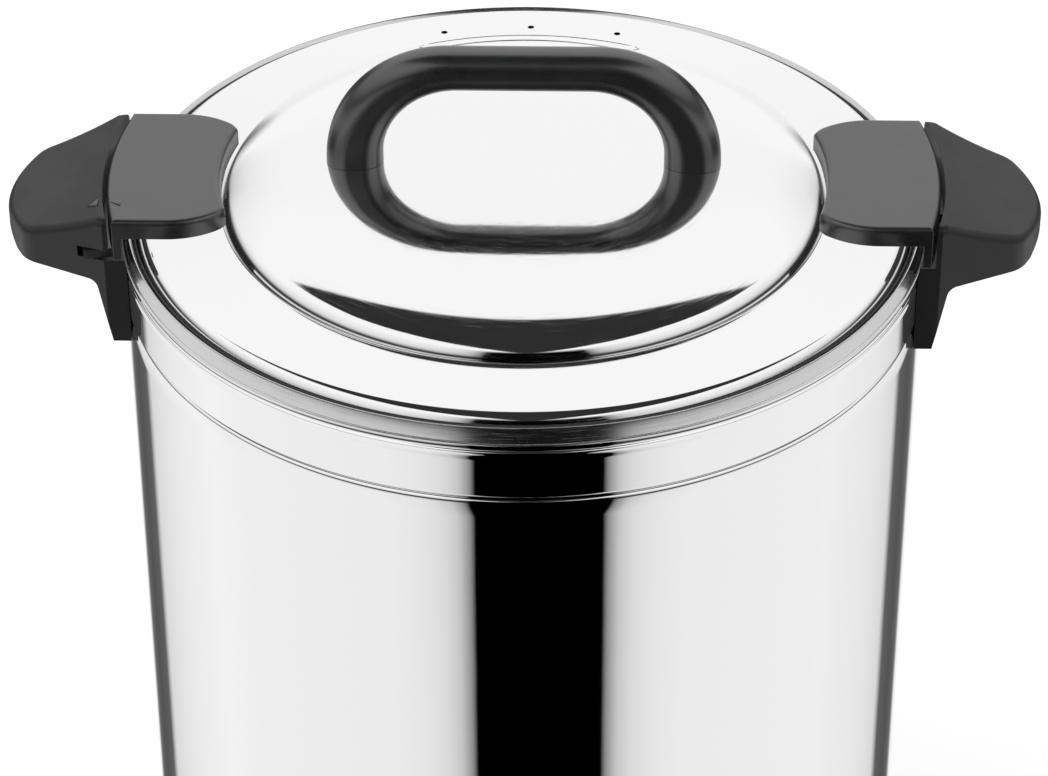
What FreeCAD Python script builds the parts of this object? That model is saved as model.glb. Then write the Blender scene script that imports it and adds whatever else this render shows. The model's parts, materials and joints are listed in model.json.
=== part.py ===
"""A hot water urn: double-walled steel body, twist-lock lid, lever tap, sight gauge and heated base.

Millimetres, +Z up. The floor is Z = 0, the tap points along -Y, and the urn's own axis stands
axis_setback behind the origin, so that the origin is the middle of the space the urn stands in.
Inside each piece, X and Y are measured from the urn's axis.
"""
import FreeCAD, Part
import math
import os
import Sketcher

doc = FreeCAD.newDocument("HotWaterUrn")
sheet = doc.addObject("Spreadsheet::Sheet", "Sizes")

SIZES = (
    ("casing_radius", 145, "outer radius of the casing"),
    ("sheet_wall", 0.8, "steel sheet of the casing, tank and lid"),
    ("lid_plane", 450, "height of the lid's flat ring above the floor"),
    ("band_top_drop", 8.6, "top of the band below the lid plane"),
    ("band_round", 2.8, "height of the rounded top of the band"),
    ("band_foot_drop", 29.6, "foot of the band below the lid plane"),
    ("groove_depth", 1.5, "depth of the groove swaged under the band"),
    ("groove_drop", 33, "foot of the groove below the lid plane"),
    ("tank_inset", 13, "tank's wall inside the casing's face"),
    ("tank_floor", 104, "underside of the tank above the floor"),
    ("tank_round", 12, "outer radius of the tank's bottom corner"),
    ("rim_crest_inset", 1.8, "rolled rim's crest inside the casing's face"),
    ("rim_crest_drop", 1.8, "crest of the rolled rim below the lid plane"),
    ("rim_fold", 1.4, "outer radius of the rim's fold"),
    ("rim_skirt_proud", 0.4, "foot of the rim's skirt proud of the casing"),
    ("rim_skirt_drop", 7.4, "foot of the rim's skirt below the lid plane"),
    ("seat_drop", 6.6, "ledge that carries the lid, below the lid plane"),
    ("ring_inset", 9, "edge of the lid's flat ring inside the casing's face"),
    ("lid_edge_inset", 3.8, "lid's turned-down edge inside the casing's face"),
    ("lid_edge_drop", 2.6, "top of the turned-down edge below the lid plane"),
    ("lid_skirt_drop", 5.4, "foot of the turned-down edge below the lid plane"),
    ("lid_edge_bend", 8, "bending radius between the flat ring and the edge"),
    ("ring_width", 26.3, "width of the lid's flat ring"),
    ("dome_foot_rise", 0.9, "dome's foot above the lid plane"),
    ("dome_corner_width", 4.1, "width of the dome's edge"),
    ("dome_corner_rise", 6.35, "height where the dome's edge begins"),
    ("dome_corner_bend", 8.6, "profile radius of the dome's edge"),
    ("dome_shoulder_width", 21.6, "width of the dome's shoulder"),
    ("dome_shoulder_rise", 13.2, "height where the dome's shoulder begins"),
    ("dome_shoulder_bend", 56, "profile radius of the dome's shoulder"),
    ("crown_edge_width", 34, "width of the slope between shoulder and flat crown"),
    ("crown_rise", 15, "dome's crown above the lid plane"),
    ("crown_bend", 325, "profile radius round the flat crown"),
    ("vent_radius", 1.25, "radius of a steam vent"),
    ("vent_from_dome", 12.8, "steam vents outside the dome's foot"),
    ("vent_step", 15.8, "angle between two steam vents"),
    ("seal_width", 3.7, "width of the lid's seal"),
    ("seal_height", 2.7, "height of the lid's seal"),
    ("seat_gap", 0.3, "gap between the seal and its ledge"),
    ("arch_inset", 13.3, "lid handle's side inside the dome's shoulder"),
    ("arch_rise", 60.1, "top of the lid handle above the lid plane"),
    ("arch_bend", 44, "outer radius of the lid handle's corners"),
    ("arch_leg", 20.4, "width of the lid handle's legs"),
    ("arch_bar", 15.2, "thickness of the lid handle's bar"),
    ("arch_inner_bend", 27, "inner radius of the lid handle's corners"),
    ("arch_depth", 16, "depth of the lid handle"),
    ("arch_round", 7.2, "rounding of the lid handle's edges"),
    ("wing_half", 38, "half of a lid wing's length round the rim"),
    ("wing_top", 11, "top of the wings and grips above the lid plane"),
    ("wing_under", 3.8, "underside of a wing above the lid plane"),
    ("wing_overhang", 4.5, "wing's outer face outside the casing"),
    ("wing_overlap", 1, "wing's inner end over the dome's foot"),
    ("wing_straight_length", 23.5, "length to which a wing's sides are straight"),
    ("wing_nose_inset", 10.5, "wing's inner end narrower than the wing, on each side"),
    ("wing_side_inset", 0.5, "end of a wing's sides inside its inner end"),
    ("wing_side_taper", 6.1, "taper of a wing's sides, on each side"),
    ("wing_bulge", 29, "radius of a wing's bulging corner side"),
    ("wing_nose_round", 8.8, "rounding of a wing's inner corners"),
    ("wing_edge", 2, "rounding of a wing's top edge"),
    ("foot_wall", 2.9, "thickness of a wing's hanging foot"),
    ("foot_drop", 5, "foot of a wing below the lid plane"),
    ("tongue_length", 10, "reach of the locking tongue from the wing"),
    ("tongue_thick", 3.5, "thickness of the locking tongue"),
    ("tongue_tail", 3, "angle of the tongue behind the handle's axis"),
    ("tongue_nose", 13.8, "angle of the tongue ahead of the handle's axis"),
    ("wing_screw_inset", 25.5, "wing screws inside the wing's outer face"),
    ("wing_screw_edge", 19, "wing screws from the wing's ends"),
    ("wing_boss", 5, "radius of a wing's screw boss"),
    ("turn_gap", 1.5, "gap between a wing and the grip round it"),
    ("slot_gap", 0.4, "play of the tongue in its slot"),
    ("slot_play", 0.6, "angle between the tongue's tail and the slot's end"),
    ("grip_length", 35.2, "length of a side handle outside its bore"),
    ("grip_taper", 9.5, "taper of a side handle towards its tip, on each side"),
    ("grip_tip_length", 9.2, "length of a side handle's rounded end"),
    ("grip_tip_bulge", 48.7, "radius of a side handle's end in plan"),
    ("grip_tip_round", 10, "rounding of a side handle's corners in plan"),
    ("grip_tip_top", 1, "top of a side handle's tip below the lid plane"),
    ("grip_top_bend", 140, "hollow radius of a side handle's top"),
    ("grip_under", 14.2, "underside of a side handle below the lid plane"),
    ("grip_tip_under", 11, "underside of the tip below the lid plane"),
    ("grip_edge", 3, "rounding of a side handle's upper edges"),
    ("leg_foot_drop", 39.5, "foot of a handle's leg below the lid plane"),
    ("leg_foot_wall", 1.6, "thickness of the leg at its foot"),
    ("leg_top_wall", 6, "thickness of the leg under the grip"),
    ("grip_fit", 0.15, "gap between a side handle and the casing"),
    ("grip_screw_drop", 20, "side handle screws below the lid plane"),
    ("grip_screw_edge", 14, "those screws from the sides of the handle"),
    ("screw_radius", 2, "radius of the urn's small screws"),
    ("screw_head", 3.8, "radius of their heads"),
    ("screw_head_height", 2.4, "height of their heads"),
    ("screw_play", 0.25, "play round a screw in its hole"),
    ("plate_wall", 1.5, "thickness of the handles' backing plates"),
    ("plate_edge", 6, "backing plate narrower than the handle, on each side"),
    ("plate_height", 12, "height of a backing plate"),
    ("tap_above_tank", 34, "tap's inlet above the underside of the tank"),
    ("shank_radius", 9.5, "radius of the tap's threaded shank"),
    ("shank_bore", 6.5, "bore of the tap's shank"),
    ("shank_inside", 20, "reach of the shank into the tank"),
    ("tap_washer", 2.4, "thickness of the tap's sealing washers"),
    ("tap_washer_radius", 16, "radius of the tap's sealing washers"),
    ("tap_flange", 4, "thickness of the tap's flange"),
    ("tap_nut", 7, "thickness of the tap's back nut"),
    ("tap_nut_radius", 15, "radius of the tap's back nut"),
    ("tap_stand_off", 53, "tap's valve axis outside the casing"),
    ("barrel_radius", 11, "radius of the tap's barrel"),
    ("chamber_radius", 14, "radius of the tap's valve chamber"),
    ("chamber_bore", 10.6, "bore of the tap's valve chamber"),
    ("chamber_up", 20, "top of the chamber above the inlet"),
    ("seat_down", 11, "valve seat below the inlet"),
    ("chamber_down", 17, "foot of the chamber below the inlet"),
    ("spout_down", 40, "mouth of the spout below the inlet"),
    ("spout_radius", 9, "radius of the spout at its mouth"),
    ("spout_bore", 6.2, "bore of the spout"),
    ("cup_radius", 8.2, "radius of the valve's silicone cup"),
    ("cup_height", 9, "height of the valve's silicone cup"),
    ("bonnet_radius", 15.6, "radius of the tap's bonnet"),
    ("bonnet_height", 12, "height of the tap's bonnet"),
    ("bonnet_top", 3, "thickness of the bonnet's top"),
    ("stem_radius", 3, "radius of the valve's stem"),
    ("stem_fit", 0.06, "gap round the stem and round the lever's pin"),
    ("pivot_arm", 7.5, "lever's pin ahead of the stem"),
    ("pivot_up", 10, "lever's pin above the bonnet"),
    ("pin_radius", 2, "radius of the lever's pin"),
    ("cheek_inner", 3.1, "inner face of the lever's cheeks from the middle"),
    ("cheek_outer", 5.4, "outer face of the lever's cheeks from the middle"),
    ("ear_inner", 5.8, "inner face of the bonnet's ears from the middle"),
    ("ear_outer", 8.6, "outer face of the bonnet's ears from the middle"),
    ("bar_radius", 1.5, "radius of the bar that lifts the stem"),
    ("bar_play", 0.5, "play of the bar in the stem's slot"),
    ("lever_height", 62, "top of the lever above its pin"),
    ("lever_half", 9, "half of the lever's width at the top"),
    ("gauge_stand_off", 21, "sight gauge outside the casing"),
    ("gauge_boss", 8.8, "radius of the gauge's socket on the tap"),
    ("gauge_boss_up", 17, "top of that socket above the inlet"),
    ("gauge_bore", 3.4, "bore between the tap and the gauge"),
    ("glass_radius", 6, "outer radius of the gauge glass"),
    ("glass_wall", 1.2, "wall of the gauge glass"),
    ("glass_top", 280, "top of the gauge glass above the floor"),
    ("gauge_nut_height", 9, "height of the gauge's nut"),
    ("gauge_nut_radius", 10.6, "radius of the gauge's nut"),
    ("guard_radius", 9.6, "outer radius of the gauge's guard"),
    ("guard_window", 3.6, "half width of the guard's window"),
    ("cap_radius", 10.6, "radius of the gauge's top cap"),
    ("cap_height", 16, "height of the gauge's top cap"),
    ("cap_arm", 6, "half width of the cap's arm"),
    ("base_margin", 3, "base housing's face outside the casing"),
    ("base_foot", 14, "underside of the base housing above the floor"),
    ("base_top", 84, "top of the base housing above the floor"),
    ("base_wall", 3, "wall of the base housing"),
    ("base_shelf", 76, "shelf that carries the casing above the floor"),
    ("base_ledge", 14, "width of the housing's lower ledge"),
    ("panel_half", 78, "half of the control panel's width"),
    ("panel_stand", 10, "face of the control panel outside the base housing"),
    ("panel_foot", 18, "foot of the control panel above the floor"),
    ("panel_top", 72, "top of the control panel above the floor"),
    ("fascia_wall", 2.5, "thickness of the fascia"),
    ("fascia_margin", 3, "margin round the fascia"),
    ("control_height", 45, "height of the controls' middle above the floor"),
    ("knob_x", 44, "knob's place left of the middle"),
    ("knob_radius", 19, "radius of the knob"),
    ("knob_depth", 17, "depth of the knob"),
    ("knob_gap", 0.6, "gap between the knob and the fascia"),
    ("shaft_radius", 3, "radius of the thermostat's shaft"),
    ("thermostat_half", 17, "half of the thermostat's width"),
    ("thermostat_depth", 20, "depth of the thermostat"),
    ("rocker_x", 46, "switch's place right of the middle"),
    ("rocker_half_width", 6, "half of the rocker's width"),
    ("rocker_half_height", 11, "half of the rocker's height"),
    ("bezel_margin", 2.6, "margin of the switch's bezel"),
    ("bezel_depth", 2, "thickness of the switch's bezel"),
    ("switch_depth", 20, "depth of the switch behind the fascia"),
    ("rocker_tilt", 12, "angle between the switch's two positions"),
    ("lamp_step", 20, "distance between the two pilot lamps"),
    ("lamp_radius", 4.5, "radius of a pilot lamp's lens"),
    ("lamp_depth", 18, "depth of a pilot lamp"),
    ("cover_wall", 1.2, "thickness of the bottom cover"),
    ("cover_inset", 4, "edge of the bottom cover inside the housing's face"),
    ("cover_screw_inset", 10, "cover's screws inside the housing's face"),
    ("foot_radius", 13, "radius of a rubber foot"),
    ("foot_inset", 32, "rubber feet inside the bottom cover's edge"),
    ("plate_inset", 56, "edge of the heat spreading plate inside the tank's wall"),
    ("plate_thick", 4, "thickness of the heat spreading plate"),
    ("element_inset", 20, "heating element inside the plate's edge"),
    ("element_radius", 4, "radius of the heating element's tube"),
    ("element_tail", 22, "length of the element's cold tails"),
    ("support_reach", 36, "reach of the support ring under the tank"),
    ("support_wall", 1.2, "thickness of the tank's support ring"),
    ("cutout_inset", 8, "thermal cut-out inside the plate's right edge"),
    ("cutout_y", 34, "thermal cut-out behind the middle"),
    ("button_radius", 3, "radius of the reset button"),
    ("button_reach", 3, "reset button below the bottom cover"),
    ("button_travel", 1.5, "travel of the reset button"),
    ("block_half", 24, "half of the terminal block's width"),
    ("gland_radius", 8, "radius of the cable gland's barrel"),
    ("gland_bore", 4.2, "bore of the cable gland"),
    ("gland_height", 36, "height of the cable gland above the floor"),
    ("gland_reach", 11, "gland's reach beyond the base housing"),
)

DERIVED = (
    ("tank_radius", "casing_radius - tank_inset", "outer radius of the tank"),
    ("rim_crest_radius", "casing_radius - rim_crest_inset", "radius of the rolled rim's crest"),
    ("rim_skirt_radius", "casing_radius + rim_skirt_proud", "radius of the rim's skirt at its foot"),
    ("ring_radius", "casing_radius - ring_inset", "outer radius of the lid's flat ring"),
    ("lid_edge_radius", "casing_radius - lid_edge_inset", "radius of the lid's turned-down edge"),
    ("dome_foot_radius", "ring_radius - ring_width", "radius of the dome's foot"),
    ("dome_corner_radius", "dome_foot_radius - dome_corner_width", "radius where its edge begins"),
    ("dome_shoulder_radius", "dome_corner_radius - dome_shoulder_width", "radius of its shoulder"),
    ("crown_radius", "dome_shoulder_radius - crown_edge_width", "radius of the dome's flat crown"),
    ("vent_circle", "dome_foot_radius + vent_from_dome", "radius of the circle of steam vents"),
    ("arch_half", "dome_shoulder_radius - arch_inset", "half of the lid handle's width"),
    ("arch_screw_radius", "arch_half - arch_leg / 2", "radius at which a lid handle screw stands"),
    ("wing_outer", "casing_radius + wing_overhang", "outer radius of a lid wing"),
    ("wing_inner", "dome_foot_radius - wing_overlap", "inner radius of a lid wing"),
    ("wing_straight", "wing_outer - wing_straight_length", "radius where its sides bend"),
    ("wing_side", "wing_inner - wing_side_inset", "radius at which a wing's sides end"),
    ("foot_inner", "wing_outer - foot_wall", "inner radius of a wing's hanging foot"),
    ("tongue_reach", "wing_outer + tongue_length", "outer radius of the locking tongue"),
    ("wing_screw_radius", "wing_outer - wing_screw_inset", "radius at which a wing screw stands"),
    ("grip_bore", "wing_outer + turn_gap", "inner face of the side handles"),
    ("grip_reach", "grip_bore + grip_length", "reach of a side handle from the axis"),
    ("grip_tip_radius", "grip_reach - grip_tip_length", "radius where its rounded end begins"),
    ("leg_foot_reach", "casing_radius + leg_foot_wall", "reach of the leg's outside at its foot"),
    ("leg_top_reach", "casing_radius + leg_top_wall", "reach of the leg under the grip"),
    ("wing_nose_half", "wing_half - wing_nose_inset", "half of a wing's inner end"),
    ("wing_side_half", "wing_half - wing_side_taper", "half of its length at its sides' ends"),
    ("wing_screw_half", "wing_half - wing_screw_edge", "half of the distance of its screws"),
    ("grip_tip_half", "wing_half - grip_taper", "half of a side handle's width near its tip"),
    ("grip_screw_half", "wing_half - grip_screw_edge", "half of the distance of its screws"),
    ("plate_half", "wing_half - plate_edge", "half of a backing plate's width"),
    ("tap_height", "tank_floor + tap_above_tank", "height of the tap's inlet above the floor"),
    ("shank_end", "tank_radius - shank_inside", "inner end of the shank from the axis"),
    ("tap_reach", "casing_radius + tap_stand_off", "tap's valve axis from the urn's axis"),
    ("gauge_reach", "casing_radius + gauge_stand_off", "sight gauge from the urn's axis"),
    ("base_radius", "casing_radius + base_margin", "outer radius of the base housing"),
    ("panel_reach", "base_radius + panel_stand", "face of the control panel from the axis"),
    ("cover_radius", "base_radius - cover_inset", "radius of the bottom cover"),
    ("cover_screw_circle", "base_radius - cover_screw_inset", "radius of the cover's screws"),
    ("foot_circle", "cover_radius - foot_inset", "radius at which the rubber feet stand"),
    ("plate_radius", "tank_radius - plate_inset", "radius of the heat spreading plate"),
    ("cutout_x", "plate_radius - cutout_inset", "thermal cut-out right of the middle"),
    ("element_circle", "plate_radius - element_inset", "radius of the heating element's ring"),
    ("support_inner", "tank_radius - support_reach", "inner radius of the support ring"),
    ("tap_front", "tap_reach + bonnet_radius", "foremost point of the tap"),
    ("gland_back", "base_radius + gland_reach", "rearmost point of the urn"),
    ("axis_setback", "tap_front / 2 - gland_back / 2", "urn's axis behind the origin"),
    ("seat_height", "lid_plane - seat_drop", "ledge that carries the lid"),
    ("fold_height", "lid_plane - rim_crest_drop - rim_fold", "centre of the rim's fold"),
    ("rim_inner", "rim_crest_radius - rim_fold", "inner face of the rim"),
    ("slot_top", "lid_plane - foot_drop + tongue_thick + slot_gap", "roof of the locking slot"),
    ("slot_foot", "lid_plane - foot_drop - slot_gap", "floor of the locking slot"),
    ("bonnet_foot", "tap_height + chamber_up - bonnet_height + bonnet_top", "foot of the bonnet"),
    ("bonnet_roof", "tap_height + chamber_up + bonnet_top", "top of the bonnet"),
    ("pivot_height", "bonnet_roof + pivot_up", "height of the lever's pin"),
    ("pivot_reach", "tap_reach + pivot_arm", "lever's pin from the urn's axis"),
    ("valve_seat", "tap_height - seat_down", "height of the valve's seat"),
    ("fascia_face", "panel_reach + fascia_wall", "face of the fascia from the axis"),
    ("boss_top", "tap_height + gauge_boss_up", "top of the gauge's socket"),
    ("glass_foot", "boss_top - 5", "foot of the gauge glass"),
    ("cap_foot", "glass_top - cap_height + 4", "foot of the gauge's cap"),
    ("plate_top", "tank_floor", "top of the heat spreading plate"),
    ("plate_foot", "plate_top - plate_thick", "underside of the heat spreading plate"),
    ("cover_top", "base_foot", "top of the bottom cover"),
    ("cover_foot", "base_foot - cover_wall", "underside of the bottom cover"),
    ("nut_face", "tank_radius - sheet_wall - 1 - tap_washer", "tap nut's face from the axis"),
    ("cup_top", "valve_seat + 0.3 + cup_height", "top of the silicone cup"),
    ("support_outer", "tank_radius + 9", "outer radius of the support ring"),
    ("rocker_pivot", "fascia_face + bezel_depth - 4", "rocker's pivot from the axis"),
)

SIZE = {name: float(number) for name, number, note in SIZES}


def value(text):
    """The value of a sum such as 'lid_plane - 2 * sheet_wall', its words parted by spaces."""
    total, sign, term, step = 0.0, 1.0, None, "*"
    for word in text.split():
        if word in ("+", "-"):
            if term is not None:
                total += sign * term
            sign, term, step = (1.0 if word == "+" else -1.0), None, "*"
        elif word in ("*", "/"):
            step = word
        else:
            number = SIZE[word] if word in SIZE else float(word)
            if term is None:
                term = number
            else:
                term = term * number if step == "*" else term / number
    return total + sign * term


def formula(text):
    """The same sum as an expression that reads the sheet."""
    return " ".join("Sizes." + word if word in SIZE else word for word in text.split())


def fill_sheet():
    """Write every size and every derived size into the sheet, each with its alias."""
    row = 1
    for name, number, note in SIZES:
        sheet.set("A%d" % row, note)
        sheet.set("B%d" % row, str(number))
        sheet.setAlias("B%d" % row, name)
        row += 1
    for name, text, note in DERIVED:
        SIZE[name] = value(text)
        sheet.set("A%d" % row, note)
        sheet.set("B%d" % row, "=" + text)
        sheet.setAlias("B%d" % row, name)
        row += 1
    doc.recompute()


fill_sheet()
pieces = []


def bind(thing, path, text):
    """Tie one property of a thing to a sum of sizes."""
    thing.setExpression(path, formula(text))


def keep(thing, label):
    """Make a thing one of the urn's pieces, set on the urn's axis."""
    thing.Label = label
    bind(thing, ".Placement.Base.y", "axis_setback")
    pieces.append(thing)
    return thing


def new_body(label):
    """An empty body that will be the piece of that label."""
    return keep(doc.addObject("PartDesign::Body", "Body_" + label), label)


def plane_of(body, role):
    """One of a body's own origin planes."""
    return [plane for plane in body.Origin.OriginFeatures if plane.Role == role][0]


def new_sketch(body, name, role, lift=None):
    """An empty sketch on an origin plane, lifted off it by a sum of sizes."""
    sketch = body.newObject("Sketcher::SketchObject", name)
    sketch.AttachmentSupport = [(plane_of(body, role), "")]
    sketch.MapMode = "FlatFace"
    if lift:
        bind(sketch, ".AttachmentOffset.Base.z", lift)
    return sketch


def fix(sketch, kind, geometry, point, text):
    """Fix one coordinate of a sketch point to a sum of sizes."""
    index = sketch.addConstraint(Sketcher.Constraint(kind, -1, 1, geometry, point, value(text)))
    bind(sketch, "Constraints[%d]" % index, text)


def arc_centre(start, end, kind, number, turn):
    """The centre of the arc from start to end: its radius, or one coordinate of it, is given."""
    middle = ((start[0] + end[0]) / 2, (start[1] + end[1]) / 2)
    way = (end[0] - start[0], end[1] - start[1])
    if kind == "radius":
        half = math.hypot(way[0], way[1]) / 2
        off = math.sqrt(max(number * number - half * half, 0)) / (2 * half)
        return middle[0] - turn * off * way[1], middle[1] + turn * off * way[0]
    if kind == "centre_x":
        return number, middle[1] - (number - middle[0]) * way[0] / way[1]
    return middle[0] - (number - middle[1]) * way[1] / way[0], number


def outline(sketch, corners):
    """A closed outline. A corner is (x, y), or (x, y, kind, size, turn) where an arc leads on.

    The kind is radius, centre_x or centre_y, and the turn is 1 to the left and -1 to the right.
    """
    spots = [(value(corner[0]), value(corner[1])) for corner in corners]
    first = sketch.GeometryCount
    ends = []
    for index, corner in enumerate(corners):
        start, end = spots[index], spots[(index + 1) % len(spots)]
        if len(corner) == 2:
            sketch.addGeometry(Part.LineSegment(FreeCAD.Vector(*start, 0), FreeCAD.Vector(*end, 0)))
            ends.append((1, 2))
            continue
        kind, text, turn = corner[2:]
        centre = arc_centre(start, end, kind, value(text), turn)
        angles = [math.atan2(spot[1] - centre[1], spot[0] - centre[0]) for spot in (start, end)]
        radius = math.hypot(start[0] - centre[0], start[1] - centre[1])
        circle = Part.Circle(FreeCAD.Vector(*centre, 0), FreeCAD.Vector(0, 0, 1), radius)
        angles = angles if turn > 0 else angles[::-1]
        sketch.addGeometry(Part.ArcOfCircle(circle, angles[0], angles[1]))
        ends.append((1, 2) if turn > 0 else (2, 1))
    for index, corner in enumerate(corners):
        here, after = first + index, first + (index + 1) % len(corners)
        follow = ends[(index + 1) % len(corners)][0]
        sketch.addConstraint(Sketcher.Constraint("Coincident", here, ends[index][1], after, follow))
        fix(sketch, "DistanceX", here, ends[index][0], corner[0])
        fix(sketch, "DistanceY", here, ends[index][0], corner[1])
        if len(corner) == 2:
            continue
        kind, text, turn = corner[2:]
        if kind == "radius":
            number = sketch.addConstraint(Sketcher.Constraint("Radius", here, value(text)))
            bind(sketch, "Constraints[%d]" % number, text)
        else:
            fix(sketch, "DistanceX" if kind == "centre_x" else "DistanceY", here, 3, text)
    return sketch


def circles(sketch, spots, radius):
    """Circles of one radius at several places in a sketch."""
    for x, y in spots:
        centre = FreeCAD.Vector(value(x), value(y), 0)
        circle = Part.Circle(centre, FreeCAD.Vector(0, 0, 1), value(radius))
        index = sketch.addGeometry(circle)
        fix(sketch, "DistanceX", index, 3, x)
        fix(sketch, "DistanceY", index, 3, y)
        number = sketch.addConstraint(Sketcher.Constraint("Radius", index, value(radius)))
        bind(sketch, "Constraints[%d]" % number, radius)
    return sketch


def box_corners(left, right, foot, top):
    """The four corners of an upright rectangle."""
    return ((left, foot), (right, foot), (right, top), (left, top))


def pad(body, name, sketch, length, both_ways=False, reverse=False):
    """Add a prism on a sketch: along its normal, the other way, or half to each side."""
    feature = body.newObject("PartDesign::Pad", name)
    feature.Profile = sketch
    bind(feature, "Length", length)
    feature.SideType = "Symmetric" if both_ways else "One side"
    feature.Reversed = reverse
    doc.recompute()
    return feature


def pocket(body, name, sketch, length, both_ways=False, reverse=False):
    """Cut a prism on a sketch, and make sure that it cuts."""
    before = body.Shape.Volume
    feature = body.newObject("PartDesign::Pocket", name)
    feature.Profile = sketch
    bind(feature, "Length", length)
    feature.SideType = "Symmetric" if both_ways else "One side"
    feature.Reversed = reverse
    doc.recompute()
    if not body.Shape.Volume < before:
        raise RuntimeError(name + " cuts nothing")
    return feature


def turned(body, name, sketch, ahead=None, behind=None):
    """Turn a sketch round the urn's axis, fully or from behind to ahead of the sketch."""
    feature = body.newObject("PartDesign::Revolution", name)
    feature.Profile = sketch
    feature.ReferenceAxis = (sketch, ["V_Axis"])
    spread(feature, ahead, behind)
    return feature


def turned_cut(body, name, sketch, ahead=None, behind=None):
    """Cut what a sketch sweeps as it turns round the urn's axis."""
    before = body.Shape.Volume
    feature = body.newObject("PartDesign::Groove", name)
    feature.Profile = sketch
    feature.ReferenceAxis = (sketch, ["V_Axis"])
    spread(feature, ahead, behind)
    if not body.Shape.Volume < before:
        raise RuntimeError(name + " cuts nothing")
    return feature


def spread(feature, ahead, behind):
    """Give a turned feature a full turn, or the two angles on either side of its sketch."""
    if ahead is None:
        feature.Angle = 360
    else:
        feature.Type = "TwoAngles"
        bind(feature, "Angle", ahead)
        bind(feature, "Angle2", behind)
    doc.recompute()


def round_edges(body, name, radius, chosen):
    """Fillet the edges of a body's last feature that the test picks."""
    base = body.Tip
    names = ["Edge%d" % (i + 1) for i, edge in enumerate(base.Shape.Edges) if chosen(edge)]
    feature = body.newObject("PartDesign::Fillet", name)
    feature.Base = (base, names)
    bind(feature, "Radius", radius)
    doc.recompute()
    return feature


def turned_piece(label, corners):
    """A piece that is one outline turned round the urn's axis."""
    body = new_body(label)
    turned(body, "Turn_" + label, outline(new_sketch(body, "Profile_" + label, "XZ_Plane"), corners))
    return body


def cylinder(name, radius, length, place, axis="Z"):
    """A cylinder from a place along +Z, +X or, for the axis Y, along -Y."""
    thing = doc.addObject("Part::Cylinder", name)
    bind(thing, "Radius", radius)
    bind(thing, "Height", length)
    turn = {"Z": (0, 0, 1, 0), "Y": (1, 0, 0, 90), "X": (0, 1, 0, 90)}[axis]
    thing.Placement.Rotation = FreeCAD.Rotation(FreeCAD.Vector(*turn[:3]), turn[3])
    for letter, text in zip("xyz", place):
        bind(thing, ".Placement.Base." + letter, text)
    return thing


def cone(name, foot_radius, top_radius, height, place):
    """An upright cone from a place."""
    thing = doc.addObject("Part::Cone", name)
    bind(thing, "Radius1", foot_radius)
    bind(thing, "Radius2", top_radius)
    bind(thing, "Height", height)
    for letter, text in zip("xyz", place):
        bind(thing, ".Placement.Base." + letter, text)
    return thing


def block(name, x, y, z):
    """A box between two sums of sizes along each of X, Y and Z."""
    thing = doc.addObject("Part::Box", name)
    for side, letter, (low, high) in zip(("Length", "Width", "Height"), "xyz", (x, y, z)):
        bind(thing, side, "%s %s" % (high, negative(low)))
        bind(thing, ".Placement.Base." + letter, low)
    return thing


def negative(text):
    """The sum with every sign turned round, ready to be added to another."""
    turned_words = [{"+": "-", "-": "+"}.get(word, word) for word in text.split()]
    return " ".join(turned_words if text.split()[0] in ("+", "-") else ["-"] + turned_words)


def fused(name, things):
    """Several solids joined into one."""
    thing = doc.addObject("Part::MultiFuse", name)
    thing.Shapes = things
    thing.Refine = True
    return thing


def cut(name, base, tools):
    """A solid less one or more others."""
    thing = doc.addObject("Part::Cut", name)
    thing.Base = base
    thing.Tool = tools[0] if len(tools) == 1 else fused(name + "_tools", tools)
    thing.Refine = True
    return thing


def group(label, things):
    """Separate solids that share one piece."""
    thing = doc.addObject("Part::Compound", "Group_" + label)
    thing.Links = things
    return keep(thing, label)


# Casing: one sheet with a rounded band at the top, a groove swaged under it and a plain wall.

def make_casing():
    body = turned_piece("outer_casing", (
        ("rim_crest_radius + 0.4", "fold_height - 0.4"),
        ("rim_crest_radius + 0.4", "lid_plane - band_top_drop", "radius", "1.25 * band_round", -1),
        ("casing_radius", "lid_plane - band_top_drop - band_round"),
        ("casing_radius", "lid_plane - band_foot_drop"),
        ("casing_radius - groove_depth", "lid_plane - band_foot_drop - sheet_wall"),
        ("casing_radius - groove_depth", "lid_plane - band_foot_drop - 2 * sheet_wall"),
        ("casing_radius", "lid_plane - groove_drop"),
        ("casing_radius", "base_shelf"),
        ("casing_radius - sheet_wall", "base_shelf"),
        ("casing_radius - sheet_wall", "lid_plane - groove_drop"),
        ("casing_radius - sheet_wall - groove_depth", "lid_plane - band_foot_drop - 2 * sheet_wall"),
        ("casing_radius - sheet_wall - groove_depth", "lid_plane - band_foot_drop - sheet_wall"),
        ("casing_radius - sheet_wall", "lid_plane - band_foot_drop"),
        ("casing_radius - sheet_wall", "lid_plane - band_top_drop - band_round",
         "radius", "1.25 * band_round", 1),
        ("rim_crest_radius + 0.4 - sheet_wall", "lid_plane - band_top_drop"),
        ("rim_crest_radius + 0.4 - sheet_wall", "fold_height - 0.4"),
    ))
    sketch = new_sketch(body, "Casing_handle_holes", "YZ_Plane")
    height = "lid_plane - grip_screw_drop"
    circles(sketch, (("grip_screw_half", height), ("- grip_screw_half", height)),
            "screw_radius + screw_play")
    pocket(body, "Casing_handle_screws", sketch, "3 * casing_radius", both_ways=True)
    sketch = new_sketch(body, "Casing_front_holes", "XZ_Plane")
    circles(sketch, (("0", "tap_height"),), "shank_radius + screw_play")
    circles(sketch, (("0", "cap_foot + cap_height / 2"),), "screw_radius + screw_play")
    pocket(body, "Casing_tap_hole", sketch, "2 * casing_radius", reverse=True)


# Tank: a deep drawn pot. Its mouth steps out to the ledge that carries the lid, stands up as the
# inner wall of the rim, folds over the casing's collar and ends in a short flaring skirt.

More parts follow.
